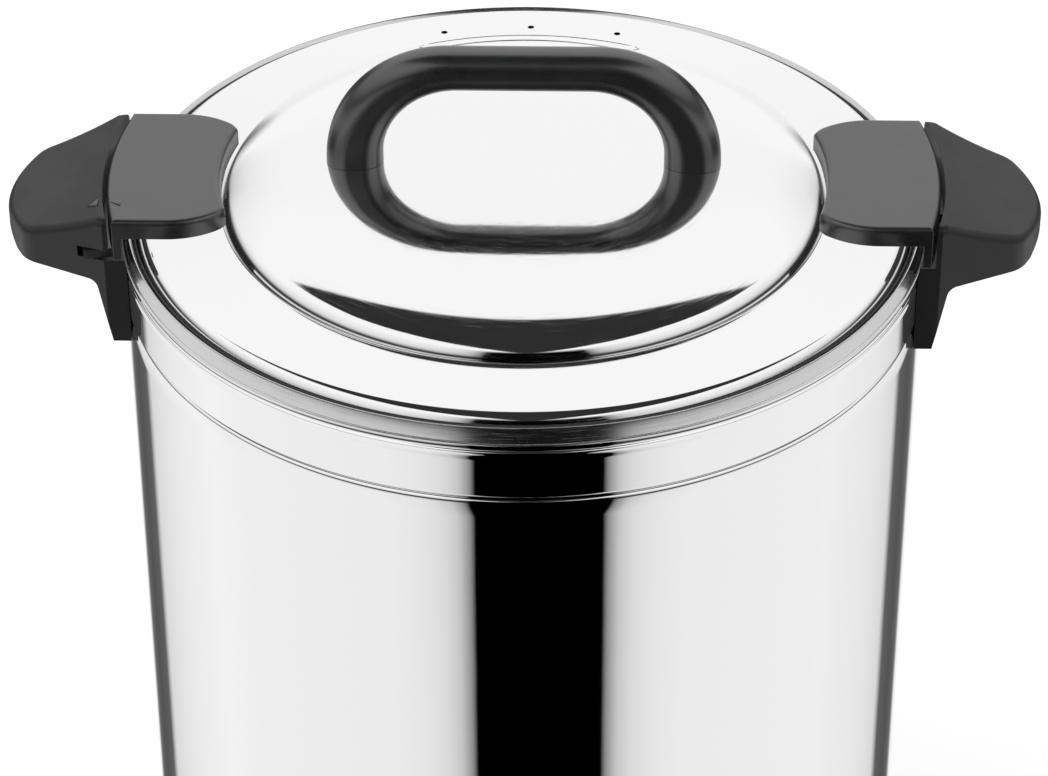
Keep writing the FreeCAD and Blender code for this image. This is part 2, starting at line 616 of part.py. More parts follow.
def make_tank():
    body = turned_piece("inner_tank", (
        ("0", "tank_floor"),
        ("tank_radius - tank_round", "tank_floor", "centre_x", "tank_radius - tank_round", 1),
        ("tank_radius", "tank_floor + tank_round"),
        ("tank_radius", "seat_height - sheet_wall"),
        ("rim_inner + sheet_wall", "seat_height - sheet_wall"),
        ("rim_inner + sheet_wall", "fold_height", "centre_y", "fold_height", -1),
        ("rim_crest_radius + rim_fold - sheet_wall", "fold_height"),
        ("rim_skirt_radius - sheet_wall", "lid_plane - rim_skirt_drop"),
        ("rim_skirt_radius", "lid_plane - rim_skirt_drop"),
        ("rim_crest_radius + rim_fold", "fold_height", "centre_y", "fold_height", 1),
        ("rim_inner", "fold_height"),
        ("rim_inner", "seat_height"),
        ("tank_radius - sheet_wall", "seat_height"),
        ("tank_radius - sheet_wall", "tank_floor + tank_round",
         "centre_x", "tank_radius - tank_round", -1),
        ("tank_radius - tank_round", "tank_floor + sheet_wall"),
        ("0", "tank_floor + sheet_wall"),
    ))
    sketch = new_sketch(body, "Tank_tap_hole", "XZ_Plane")
    circles(sketch, (("0", "tap_height"),), "shank_radius + screw_play")
    pocket(body, "Tank_tap", sketch, "2 * tank_radius", reverse=True)


# Lid: flat crown, rounded shoulder and steep edge of the dome, then the flat ring and the edge.

def make_lid():
    wall = " - sheet_wall"
    body = turned_piece("lid_shell", (
        ("0", "lid_plane + crown_rise"),
        ("0", "lid_plane + crown_rise - sheet_wall"),
        ("crown_radius", "lid_plane + crown_rise - sheet_wall", "radius", "crown_bend" + wall, -1),
        ("dome_shoulder_radius", "lid_plane + dome_shoulder_rise - sheet_wall",
         "radius", "dome_shoulder_bend" + wall, -1),
        ("dome_corner_radius - sheet_wall / 2", "lid_plane + dome_corner_rise - sheet_wall",
         "radius", "dome_corner_bend" + wall, -1),
        ("dome_foot_radius - sheet_wall", "lid_plane + dome_foot_rise - sheet_wall"),
        ("ring_radius - sheet_wall / 2", "lid_plane - sheet_wall",
         "radius", "lid_edge_bend" + wall, -1),
        ("lid_edge_radius - sheet_wall", "lid_plane - lid_edge_drop - sheet_wall / 2"),
        ("lid_edge_radius - sheet_wall", "lid_plane - lid_skirt_drop"),
        ("lid_edge_radius", "lid_plane - lid_skirt_drop"),
        ("lid_edge_radius", "lid_plane - lid_edge_drop", "radius", "lid_edge_bend", 1),
        ("ring_radius", "lid_plane"),
        ("dome_foot_radius", "lid_plane + dome_foot_rise", "radius", "dome_corner_bend", 1),
        ("dome_corner_radius", "lid_plane + dome_corner_rise", "radius", "dome_shoulder_bend", 1),
        ("dome_shoulder_radius", "lid_plane + dome_shoulder_rise", "radius", "crown_bend", 1),
        ("crown_radius", "lid_plane + crown_rise"),
    ))
    sketch = new_sketch(body, "Lid_handle_holes", "XY_Plane", "lid_plane")
    circles(sketch, (("arch_screw_radius", "0"), ("- arch_screw_radius", "0")),
            "screw_radius + screw_play")
    pocket(body, "Lid_handle_screw_holes", sketch, "2 * crown_rise", reverse=True)
    sketch = new_sketch(body, "Lid_wing_holes", "XY_Plane", "lid_plane")
    circles(sketch, wing_screw_spots(), "screw_radius + screw_play")
    pocket(body, "Lid_wing_screw_holes", sketch, "crown_rise", both_ways=True)
    make_vents(body)


def make_vents(body):
    """Three steam vents at the back of the flat ring, side by side on one circle."""
    for number in (-1, 0, 1):
        sketch = new_sketch(body, "Vent_hole_%d" % (number + 1), "XY_Plane", "lid_plane")
        circles(sketch, (("0", "vent_circle"),), "vent_radius")
        bind(sketch, ".AttachmentOffset.Rotation.Angle", "%d * vent_step" % number)
        sketch.AttachmentOffset.Rotation.Axis = FreeCAD.Vector(0, 0, 1)
        pocket(body, "Vent_%d" % (number + 1), sketch, "crown_rise", both_ways=True)


def wing_screw_spots():
    """The four places where screws hold the two wings to the lid."""
    return [(side + "wing_screw_radius", half + "wing_screw_half")
            for side in ("", "- ") for half in ("", "- ")]


def make_seal():
    """A silicone ring clipped round the foot of the lid's edge, just clear of its ledge."""
    foot = "seat_height + seat_gap"
    inner = "lid_edge_radius - sheet_wall - seal_width"
    turned_piece("lid_seal", (
        (inner, foot),
        ("lid_edge_radius", foot),
        ("lid_edge_radius", "lid_plane - lid_skirt_drop"),
        ("lid_edge_radius - sheet_wall", "lid_plane - lid_skirt_drop"),
        ("lid_edge_radius - sheet_wall", foot + " + seal_height"),
        (inner, foot + " + seal_height"),
    ))


# Lid handle: one moulded arch, standing on the dome, held by a screw up each leg.

def make_arch():
    body = new_body("lid_handle")
    sketch = new_sketch(body, "Arch_outline", "XZ_Plane")
    foot = "lid_plane"
    outer_bend = "lid_plane + arch_rise - arch_bend"
    inner_top = "lid_plane + arch_rise - arch_bar"
    inner_bend = inner_top + " - arch_inner_bend"
    outline(sketch, (
        ("arch_half", foot),
        ("arch_half", outer_bend, "centre_x", "arch_half - arch_bend", 1),
        ("arch_half - arch_bend", "lid_plane + arch_rise"),
        ("arch_bend - arch_half", "lid_plane + arch_rise", "centre_x", "arch_bend - arch_half", 1),
        ("- arch_half", outer_bend),
        ("- arch_half", foot),
        ("arch_leg - arch_half", foot),
        ("arch_leg - arch_half", inner_bend, "centre_y", inner_bend, -1),
        ("arch_leg - arch_half + arch_inner_bend", inner_top),
        ("arch_half - arch_leg - arch_inner_bend", inner_top, "centre_x",
         "arch_half - arch_leg - arch_inner_bend", -1),
        ("arch_half - arch_leg", inner_bend),
        ("arch_half - arch_leg", foot),
    ))
    pad(body, "Arch", sketch, "arch_depth", both_ways=True)
    half, floor = value("arch_depth") / 2, value(foot)

    def along_side(edge):
        """The long edges of the arch's two flat sides, without those at its feet."""
        box = edge.BoundBox
        flat = box.YLength < 0.01 and abs(abs(box.YMin) - half) < 0.01
        return flat and box.ZMax > floor + 0.01

    round_edges(body, "Arch_rounding", "arch_round", along_side)
    sketch = new_sketch(body, "Arch_seat", "XZ_Plane")
    outline(sketch, (
        ("0", "lid_plane - 5"),
        ("2 * dome_corner_radius", "lid_plane - 5"),
        ("dome_shoulder_radius", "lid_plane + dome_shoulder_rise + 0.05",
         "radius", "crown_bend", 1),
        ("crown_radius", "lid_plane + crown_rise + 0.05"),
        ("0", "lid_plane + crown_rise + 0.05"),
    ))
    turned_cut(body, "Arch_feet", sketch)
    sketch = new_sketch(body, "Arch_pilot_holes", "XY_Plane", "lid_plane")
    circles(sketch, (("arch_screw_radius", "0"), ("- arch_screw_radius", "0")), "screw_radius")
    pocket(body, "Arch_pilots", sketch, "crown_rise + 14", reverse=True)


# Lid wings: each is a slab with a foot that hangs outside the rim, and a tongue on that foot.

def make_wing(label, turn):
    body = new_body(label)
    sketch = new_sketch(body, label + "_plan", "XY_Plane", "lid_plane - foot_drop")
    sine = value("wing_half") / value("wing_outer")
    outer = "%.9f * wing_outer" % math.sqrt(1 - sine * sine)
    nose = "%.9f * wing_inner" % math.sqrt(1 - (value("wing_nose_half") / value("wing_inner")) ** 2)
    outline(sketch, (
        (outer, "- wing_half", "centre_x", "0", 1),
        (outer, "wing_half"),
        ("wing_straight", "wing_half", "radius", "wing_bulge", 1),
        ("wing_side", "wing_side_half", "radius", "wing_nose_round", 1),
        (nose, "wing_nose_half", "centre_x", "0", -1),
        (nose, "- wing_nose_half", "radius", "wing_nose_round", 1),
        ("wing_side", "- wing_side_half", "radius", "wing_bulge", 1),
        ("wing_straight", "- wing_half"),
    ))
    pad(body, label + "_slab", sketch, "wing_top + foot_drop")
    top = value("lid_plane + wing_top")
    round_edges(body, label + "_edge", "wing_edge",
                lambda edge: edge.BoundBox.ZLength < 0.01 and abs(edge.BoundBox.ZMax - top) < 0.01)
    sketch = new_sketch(body, label + "_under", "XZ_Plane")
    outline(sketch, box_corners("0", "foot_inner", "lid_plane - 2 * foot_drop",
                                "lid_plane + wing_under"))
    turned_cut(body, label + "_hollow", sketch)
    sketch = new_sketch(body, label + "_tongue_profile", "XZ_Plane")
    outline(sketch, box_corners("foot_inner", "tongue_reach", "lid_plane - foot_drop",
                                "lid_plane - foot_drop + tongue_thick"))
    turned(body, label + "_tongue", sketch, ahead="tongue_nose", behind="tongue_tail")
    spots = (("wing_screw_radius", "wing_screw_half"), ("wing_screw_radius", "- wing_screw_half"))
    sketch = new_sketch(body, label + "_boss_plan", "XY_Plane", "lid_plane + dome_foot_rise")
    circles(sketch, spots, "wing_boss")
    pad(body, label + "_bosses", sketch, "wing_under")
    sketch = new_sketch(body, label + "_pilot_plan", "XY_Plane", "lid_plane")
    circles(sketch, spots, "screw_radius")
    pocket(body, label + "_pilots", sketch, "wing_top - wing_edge", reverse=True)
    body.Placement.Rotation = FreeCAD.Rotation(FreeCAD.Vector(0, 0, 1), turn)


# Side handles: a grip with a leg down the casing. The inside follows the casing below the slot's
# floor and stands off the wing above it. The locking slot is open towards +Y on the right handle.

def make_side_handle(label, turn):
    body = new_body(label)
    sketch = new_sketch(body, label + "_plan", "XY_Plane", "lid_plane - leg_foot_drop")
    outline(sketch, (
        ("casing_radius - 12", "- wing_half"),
        ("casing_radius + 3", "- wing_half"),
        ("grip_tip_radius", "- grip_tip_half", "radius", "grip_tip_bulge", 1),
        ("grip_tip_radius", "grip_tip_half"),
        ("casing_radius + 3", "wing_half"),
        ("casing_radius - 12", "wing_half"),
    ))
    pad(body, label + "_block", sketch, "leg_foot_drop + wing_top")
    corner = value("grip_tip_radius")
    round_edges(body, label + "_corners", "grip_tip_round",
                lambda edge: edge.BoundBox.ZLength > 20 and abs(edge.BoundBox.XMax - corner) < 0.01)
    sketch = new_sketch(body, label + "_above", "XZ_Plane")
    outline(sketch, (
        ("grip_bore - turn_gap", "lid_plane + wing_top", "radius", "grip_top_bend", 1),
        ("grip_reach + 4", "lid_plane - grip_tip_top"),
        ("grip_reach + 10", "lid_plane - grip_tip_top"),
        ("grip_reach + 10", "lid_plane + wing_top + 10"),
        ("grip_bore - turn_gap", "lid_plane + wing_top + 10"),
    ))
    pocket(body, label + "_top", sketch, "4 * wing_half", both_ways=True)
    sketch = new_sketch(body, label + "_below", "XZ_Plane")
    outline(sketch, (
        ("leg_foot_reach", "lid_plane - leg_foot_drop - 5"),
        ("grip_reach + 10", "lid_plane - leg_foot_drop - 5"),
        ("grip_reach + 10", "lid_plane - grip_tip_under + 4"),
        ("grip_reach", "lid_plane - grip_tip_under + 4"),
        ("grip_reach - 5", "lid_plane - grip_tip_under"),
        ("leg_top_reach + 3", "lid_plane - grip_under", "radius", "4", 1),
        ("leg_top_reach", "lid_plane - grip_under - 3"),
        ("leg_foot_reach", "lid_plane - leg_foot_drop"),
    ))
    pocket(body, label + "_finger_room", sketch, "4 * wing_half", both_ways=True)
    top, half = value("lid_plane"), value("wing_half")

    def upper_edge(edge):
        """The edges round the grip's top, without the two that run straight across it."""
        box = edge.BoundBox
        across = box.XLength < 0.01 and box.YLength > half
        return box.ZMin > top - 3 and not across

    round_edges(body, label + "_edges", "grip_edge", upper_edge)
    sketch = new_sketch(body, label + "_casing_side", "XZ_Plane")
    outline(sketch, (
        ("0", "lid_plane - leg_foot_drop - 5"),
        ("casing_radius + grip_fit", "lid_plane - leg_foot_drop - 5"),
        ("casing_radius + grip_fit", "lid_plane - rim_skirt_drop - 2"),
        ("rim_skirt_radius + grip_fit", "lid_plane - rim_skirt_drop"),
        ("rim_skirt_radius + grip_fit", "slot_foot"),
        ("grip_bore", "slot_foot"),
        ("grip_bore", "lid_plane + wing_top + 5"),
        ("0", "lid_plane + wing_top + 5"),
    ))
    turned_cut(body, label + "_bore", sketch)
    sketch = new_sketch(body, label + "_slot_profile", "XZ_Plane")
    outline(sketch, box_corners("casing_radius", "tongue_reach + slot_gap + 1.5", "slot_foot",
                                "slot_top"))
    turned_cut(body, label + "_slot", sketch, ahead="tongue_nose + 10",
               behind="tongue_tail + slot_play")
    sketch = new_sketch(body, label + "_pilot_plan", "YZ_Plane")
    height = "lid_plane - grip_screw_drop"
    circles(sketch, (("grip_screw_half", height), ("- grip_screw_half", height)), "screw_radius")
    pocket(body, label + "_pilots", sketch, "casing_radius + 4", reverse=True)
    body.Placement.Rotation = FreeCAD.Rotation(FreeCAD.Vector(0, 0, 1), turn)


def make_backing_plates():
    """Curved strips inside the casing that spread the load of the side handles' screws."""
    plates = []
    for name, low, high in (("right", "casing_radius / 2", "2 * casing_radius"),
                            ("left", "- 2 * casing_radius", "- casing_radius / 2")):
        foot = "lid_plane - grip_screw_drop - plate_height / 2"
        outer = cylinder("Plate_outer_" + name, "casing_radius - sheet_wall - 0.05",
                         "plate_height", ("0", "0", foot))
        inner = cylinder("Plate_inner_" + name, "casing_radius - sheet_wall - plate_wall",
                         "plate_height", ("0", "0", foot))
        slab = block("Plate_slab_" + name, (low, high), ("- plate_half", "plate_half"),
                     (foot, foot + " + plate_height"))
        holes = [cylinder("Plate_hole_%s_%d" % (name, index), "screw_radius + screw_play",
                          "4 * casing_radius", ("- 2 * casing_radius", side + "grip_screw_half",
                                                "lid_plane - grip_screw_drop"), "X")
                 for index, side in enumerate(("", "- "))]
        strip = doc.addObject("Part::MultiCommon", "Plate_strip_" + name)
        strip.Shapes = [outer, slab]
        plates.append(cut("Plate_" + name, strip, [inner] + holes))
    group("handle_backing_plates", plates)


# Screws: a shank and a flat head, in groups that share one piece.

def screw(name, place, length, turn):
    """One screw whose head begins at a place and whose shank runs on along its turned Z."""
    shank = cylinder(name + "_shank", "screw_radius - 0.05", length, ("0", "0", "0"))
    head = cylinder(name + "_head", "screw_head", "screw_head_height",
                    ("0", "0", "- screw_head_height"))
    recess = block(name + "_slot", ("- screw_head * 0.7", "screw_head * 0.7"), ("- 0.5", "0.5"),
                   ("- screw_head_height - 0.1", "- screw_head_height + 1.1"))
    thing = cut(name, fused(name + "_solid", [shank, head]), [recess])
    thing.Placement.Rotation = turn
    for letter, text in zip("xyz", place):
        bind(thing, ".Placement.Base." + letter, text)
    return thing


UPWARD = FreeCAD.Rotation()
TO_RIGHT = FreeCAD.Rotation(FreeCAD.Vector(0, 1, 0), 90)
TO_LEFT = FreeCAD.Rotation(FreeCAD.Vector(0, 1, 0), -90)
TO_FRONT = FreeCAD.Rotation(FreeCAD.Vector(1, 0, 0), 90)


def make_lid_screws():
    under_crown = "lid_plane + crown_rise - sheet_wall - 1.6"
    screws, washers = [], []
    for index, side in enumerate(("", "- ")):
        spot = side + "arch_screw_radius"
        screws.append(screw("Arch_screw_%d" % index, (spot, "0", under_crown + " - 0.6"), "12",
                            UPWARD))
        disc = cylinder("Arch_disc_%d" % index, "screw_head + 3", "1.4",
                        (spot, "0", under_crown + " - 0.5"))
        hole = cylinder("Arch_disc_hole_%d" % index, "screw_radius + 0.1", "3",
                        (spot, "0", under_crown + " - 1"))
        washers.append(cut("Arch_washer_%d" % index, disc, [hole]))
    group("lid_handle_screws", screws)
    group("lid_handle_washers", washers)
    group("lid_wing_screws", [
        screw("Wing_screw_%d" % index, (x, y, "lid_plane + dome_foot_rise - sheet_wall - 0.7"),
              "8", UPWARD)
        for index, (x, y) in enumerate(wing_screw_spots())])


def make_grip_screws():
    """Screws from inside the casing, through the backing plates, into the side handles."""
    screws = []
    height = "lid_plane - grip_screw_drop"
    seat = math.sqrt(value("casing_radius - sheet_wall - plate_wall") ** 2
                     - (value("grip_screw_half") + value("screw_head")) ** 2)
    inside = "casing_radius - %.6f" % (value("casing_radius") - seat + 0.1)
    for side, sign, turn in (("right", "", TO_RIGHT), ("left", "- ", TO_LEFT)):
        for index, half in enumerate(("", "- ")):
            place = inside if sign == "" else negative(inside)
            screws.append(screw("Grip_screw_%s_%d" % (side, index),
                                (place, half + "grip_screw_half", height), "9", turn))
    group("side_handle_screws", screws)


# Tap: shank through both walls, flange, barrel, upright valve chamber, spout, gauge socket.

def make_tap_body():
    flange_at = "- casing_radius - tap_washer"
    solid = fused("Tap_solid", [
        cylinder("Tap_shank", "shank_radius", "casing_radius - shank_end + tap_washer",
                 ("0", "- shank_end", "tap_height"), "Y"),
        cylinder("Tap_flange", "tap_washer_radius", "tap_flange", ("0", flange_at, "tap_height"), "Y"),
        cylinder("Tap_barrel", "barrel_radius", "tap_reach - casing_radius - tap_washer",
                 ("0", flange_at, "tap_height"), "Y"),
        cylinder("Tap_chamber", "chamber_radius", "chamber_up + chamber_down",
                 ("0", "- tap_reach", "tap_height - chamber_down")),
        cone("Tap_taper", "spout_radius", "chamber_radius", "12",
             ("0", "- tap_reach", "tap_height - chamber_down - 12")),
        cylinder("Tap_spout", "spout_radius", "spout_down - chamber_down",
                 ("0", "- tap_reach", "tap_height - spout_down")),
        cylinder("Tap_socket", "gauge_boss", "gauge_boss_up", ("0", "- gauge_reach", "tap_height")),
    ])
    tap = cut("Tap_body", solid, [
        cylinder("Tap_inlet", "shank_bore", "tap_reach - shank_end + 1",
                 ("0", "- shank_end + 1", "tap_height"), "Y"),
        cylinder("Tap_valve_bore", "chamber_bore", "chamber_up + seat_down + 1",
                 ("0", "- tap_reach", "valve_seat")),
        cylinder("Tap_outlet", "spout_bore", "spout_down + 1",
                 ("0", "- tap_reach", "tap_height - spout_down - 1")),
        cylinder("Tap_gauge_way", "gauge_bore", "gauge_boss_up + 1",
                 ("0", "- gauge_reach", "tap_height")),
        cylinder("Tap_glass_seat", "glass_radius + 0.1", "boss_top - glass_foot + 1",
                 ("0", "- gauge_reach", "glass_foot")),
    ])
    keep(tap, "tap_body")


def make_tap_fixings():
    """The silicone washers outside the casing and inside the tank, and the nut behind them."""
    outside = cylinder("Washer_out_disc", "tap_washer_radius", "tap_washer + 3",
                       ("0", "- casing_radius + 3", "tap_height"), "Y")
    room = cylinder("Washer_out_room", "casing_radius", "4 * tap_washer_radius",
                    ("0", "0", "tap_height - 2 * tap_washer_radius"))
    hole = cylinder("Washer_out_hole", "shank_radius", "tap_washer + 8",
                    ("0", "- casing_radius + 5", "tap_height"), "Y")
    keep(cut("Tap_washer_out", outside, [room, hole]), "tap_outer_washer")
    disc = cylinder("Washer_in_disc", "tap_washer_radius", "tap_washer + 2",
                    ("0", "- nut_face", "tap_height"), "Y")
    room = cylinder("Washer_in_room", "tank_radius - sheet_wall", "4 * tap_washer_radius",
                    ("0", "0", "tap_height - 2 * tap_washer_radius"))
    inside = doc.addObject("Part::MultiCommon", "Washer_in_round")
    inside.Shapes = [disc, room]
    hole = cylinder("Washer_in_hole", "shank_radius", "tap_washer + 8",
                    ("0", "- nut_face + 4", "tap_height"), "Y")
    keep(cut("Tap_washer_in", inside, [hole]), "tap_inner_washer")
    keep(cut("Tap_nut", hexagon("Tap_nut_blank", "tap_nut_radius", "tap_nut",
                                ("0", "- nut_face + tap_nut", "tap_height"), "Y"), [
        cylinder("Tap_nut_thread", "shank_radius", "tap_nut + 2",
                 ("0", "- nut_face + tap_nut + 1", "tap_height"), "Y")]), "tap_nut")


def make_bonnet():
    """The tap's screwed cap, with two ears that hold the lever's pin."""
    ear_foot = "bonnet_roof - 1"
    solids = [cylinder("Bonnet_cap", "bonnet_radius", "bonnet_height",
                       ("0", "- tap_reach", "bonnet_foot"))]
    for index, (low, high) in enumerate((("ear_inner", "ear_outer"), ("- ear_outer", "- ear_inner"))):
        solids.append(block("Bonnet_ear_%d" % index, (low, high),
                            ("- pivot_reach - 4.5", "- pivot_reach + 4.5"),
                            (ear_foot, "pivot_height")))
        solids.append(cylinder("Bonnet_ear_top_%d" % index, "4.5", "ear_outer - ear_inner",
                               (low, "- pivot_reach", "pivot_height"), "X"))
    keep(cut("Tap_bonnet", fused("Bonnet_solid", solids), [
        cylinder("Bonnet_thread", "chamber_radius", "bonnet_height - bonnet_top + 1",
                 ("0", "- tap_reach", "bonnet_foot - 1")),
        cylinder("Bonnet_stem_hole", "stem_radius + stem_fit", "2 * bonnet_height",
                 ("0", "- tap_reach", "bonnet_foot")),
        cylinder("Bonnet_pin_hole", "pin_radius", "4 * ear_outer",
                 ("- 2 * ear_outer", "- pivot_reach", "pivot_height"), "X"),
    ]), "tap_bonnet")


def make_valve():
    """The stem with its head and collar, the silicone cup under it, and the spring round it."""
    head = block("Stem_head", ("- cheek_inner + 0.4", "cheek_inner - 0.4"),
                 ("- tap_reach - bar_radius - 3.2", "- tap_reach + bar_radius + 2.2"),
                 ("pivot_height - bar_radius - 2.4", "pivot_height + bar_radius + 2.4"))
    keep(cut("Tap_stem", fused("Stem_solid", [
        cylinder("Stem_rod", "stem_radius", "pivot_height - cup_top - 3",
                 ("0", "- tap_reach", "cup_top")),
        cylinder("Stem_collar", "cup_radius - 1", "1.5", ("0", "- tap_reach", "cup_top")),
        cylinder("Stem_spigot", "2.2", "6", ("0", "- tap_reach", "cup_top - 5")),
        head,
    ]), [block("Stem_slot", ("- 2 * cheek_inner", "2 * cheek_inner"),
               ("- tap_reach - bar_radius - bar_play - 1", "- tap_reach + bar_radius + bar_play"),
               ("pivot_height - bar_radius - bar_play", "pivot_height + bar_radius + bar_play"))]),
         "tap_stem")
    keep(cut("Tap_cup", fused("Cup_solid", [
        cylinder("Cup_wall", "cup_radius", "cup_height - 3", ("0", "- tap_reach", "valve_seat + 3.3")),
        cone("Cup_foot", "cup_radius - 1.6", "cup_radius", "3", ("0", "- tap_reach", "valve_seat + 0.3")),
    ]), [cylinder("Cup_hole", "2.2", "7", ("0", "- tap_reach", "cup_top - 5.5"))]), "tap_seat")
    coil_foot = "cup_top + 2.1"
    coil = doc.addObject("Part::Helix", "Spring_path")
    bind(coil, "Radius", "cup_radius - 2.4")
    bind(coil, "Height", "bonnet_roof - bonnet_top - cup_top - 2.7")
    bind(coil, "Pitch", "0.2 * bonnet_roof - 0.2 * bonnet_top - 0.2 * cup_top - 0.54")
    wire = doc.addObject("Part::Circle", "Spring_wire")
    bind(wire, "Radius", "0.55")
    wire.Placement.Rotation = FreeCAD.Rotation(FreeCAD.Vector(1, 0, 0), 90)
    bind(wire, ".Placement.Base.x", "cup_radius - 2.4")
    sweep = doc.addObject("Part::Sweep", "Spring_coil")
    sweep.Sections = [wire]
    sweep.Spine = (coil, [])
    sweep.Solid = True
    sweep.Frenet = True
    bind(sweep, ".Placement.Base.y", "- tap_reach")
    bind(sweep, ".Placement.Base.z", coil_foot)
    group("tap_spring", [sweep])


def make_lever():
    """The tap's lever: two cheeks on the pin, a bar between them that lifts the stem, a paddle."""
    body = new_body("tap_lever")
    sketch = new_sketch(body, "Lever_cheeks", "YZ_Plane")
    outline(sketch, (
        ("- pivot_reach - 5", "pivot_height"),
        ("- pivot_reach - 3", "pivot_height - 4"),
        ("- pivot_reach + 3", "pivot_height - 4"),
        ("- tap_reach + 2", "pivot_height - 3.4"),
        ("- tap_reach + 4", "pivot_height"),
        ("- tap_reach + 2", "pivot_height + 3.6"),
        ("- pivot_reach + 5", "pivot_height + 12"),
        ("- pivot_reach + 4.5", "pivot_height + 20"),
        ("- pivot_reach - 5", "pivot_height + 20"),
    ))
    pad(body, "Lever_fork", sketch, "2 * cheek_outer", both_ways=True)
    sketch = new_sketch(body, "Lever_paddle", "YZ_Plane")
    outline(sketch, (
        ("- pivot_reach - 5", "pivot_height + 12"),
        ("- pivot_reach + 5", "pivot_height + 12", "radius", "110", 1),
        ("- pivot_reach - 1", "pivot_height + lever_height - 3", "radius", "3.5", 1),
        ("- pivot_reach - 7.6", "pivot_height + lever_height - 5", "radius", "150", -1),
    ))
    pad(body, "Lever_grip", sketch, "2 * lever_half", both_ways=True)
    sketch = new_sketch(body, "Lever_gap", "YZ_Plane")
    outline(sketch, box_corners("- pivot_reach - 8", "- tap_reach + 8", "pivot_height - 8",
                                "pivot_height + 11"))
    pocket(body, "Lever_fork_gap", sketch, "2 * cheek_inner", both_ways=True)
    sketch = new_sketch(body, "Lever_pin_plan", "YZ_Plane")
    circles(sketch, (("- pivot_reach", "pivot_height"),), "pin_radius + stem_fit")
    pocket(body, "Lever_pin_hole", sketch, "4 * cheek_outer", both_ways=True)
    sketch = new_sketch(body, "Lever_bar_plan", "YZ_Plane")
    circles(sketch, (("- tap_reach", "pivot_height"),), "bar_radius")
    pad(body, "Lever_bar", sketch, "2 * cheek_inner + 1", both_ways=True)
    keep(fused("Lever_pin_solid", [
        cylinder("Pin_rod", "pin_radius", "2 * ear_outer", ("- ear_outer", "- pivot_reach",
                                                            "pivot_height"), "X"),
        cylinder("Pin_head", "pin_radius + 1.2", "1.2", ("ear_outer", "- pivot_reach",
                                                         "pivot_height"), "X"),
        cylinder("Pin_clip", "pin_radius + 0.8", "0.8", ("- ear_outer - 0.8", "- pivot_reach",
                                                         "pivot_height"), "X"),
    ]), "tap_lever_pin")


# Sight gauge: a glass tube that stands in the tap's socket, a guard round it and a cap on top.

def make_gauge():
    spot = ("0", "- gauge_reach")
    tube = "glass_top - glass_foot"
    keep(cut("Glass", cylinder("Glass_rod", "glass_radius", tube, spot + ("glass_foot",)), [
        cylinder("Glass_bore", "glass_radius - glass_wall", tube + " + 2", spot + ("glass_foot - 1",))
    ]), "gauge_tube")
    keep(cut("Gauge_nut", hexagon("Gauge_nut_blank", "gauge_nut_radius", "gauge_nut_height",
                                  spot + ("boss_top - 5",)), [
        cylinder("Gauge_nut_thread", "gauge_boss", "7.7", spot + ("boss_top - 5.1",)),
        cylinder("Gauge_nut_hole", "glass_radius + 0.2", "20", spot + ("boss_top - 5",)),
    ]), "gauge_lower_nut")
    keep(cut("Gauge_ring", cylinder("Gauge_ring_disc", "glass_radius + 1.9", "2.6",
                                    spot + ("boss_top",)), [
        cylinder("Gauge_ring_hole", "glass_radius", "4", spot + ("boss_top - 1",))]),
         "gauge_lower_seal")
    guard_foot = "boss_top - 5 + gauge_nut_height"
    tall = "cap_foot - boss_top + 5 - gauge_nut_height"
    keep(cut("Guard", cylinder("Guard_rod", "guard_radius", tall, spot + (guard_foot,)), [
        cylinder("Guard_bore", "guard_radius - 1.4", tall + " + 2", spot + (guard_foot + " - 1",)),
        block("Guard_window", ("- guard_window", "guard_window"),
              ("- gauge_reach - 20", "- gauge_reach"),
              (guard_foot + " + 8", "cap_foot - 8")),
    ]), "gauge_guard")
    middle = "cap_foot + cap_height / 2"
    keep(cut("Cap", fused("Cap_solid", [
        cylinder("Cap_round", "cap_radius", "cap_height", spot + ("cap_foot",)),
        block("Cap_arm", ("- cap_arm", "cap_arm"), ("- gauge_reach", "- casing_radius + 4"),
              (middle + " - cap_arm", middle + " + cap_arm")),
    ]), [
        cylinder("Cap_glass_bore", "glass_radius + 0.2", "glass_top - cap_foot + 0.5",
                 spot + ("cap_foot - 0.3",)),
        cylinder("Cap_vent", "1.5", "20", spot + ("glass_top - 1",)),
        cylinder("Cap_casing", "casing_radius + 0.05", "4 * cap_height",
                 ("0", "0", "cap_foot - cap_height")),
        cylinder("Cap_pilot", "screw_radius", "16.2",
                 ("0", "- casing_radius + 5", middle), "Y"),
    ]), "gauge_top_cap")
    group("gauge_cap_screw", [screw("Gauge_screw", ("0", "- casing_radius + sheet_wall + 0.1", middle),
                                    "9", TO_FRONT)])


def hexagon(name, radius, height, place, axis="Z"):
    """A six-sided prism from a place along +Z or, for the axis Y, along -Y."""
    thing = doc.addObject("Part::Prism", name)
    thing.Polygon = 6
    bind(thing, "Circumradius", "%.6f * %s" % (1 / math.cos(math.pi / 6), radius))
    bind(thing, "Height", height)
    if axis == "Y":
        thing.Placement.Rotation = FreeCAD.Rotation(FreeCAD.Vector(1, 0, 0), 90)
    for letter, text in zip("xyz", place):
        bind(thing, ".Placement.Base." + letter, text)
    return thing


# Base: a moulded housing with a flat panel in front, closed from below by a steel cover.

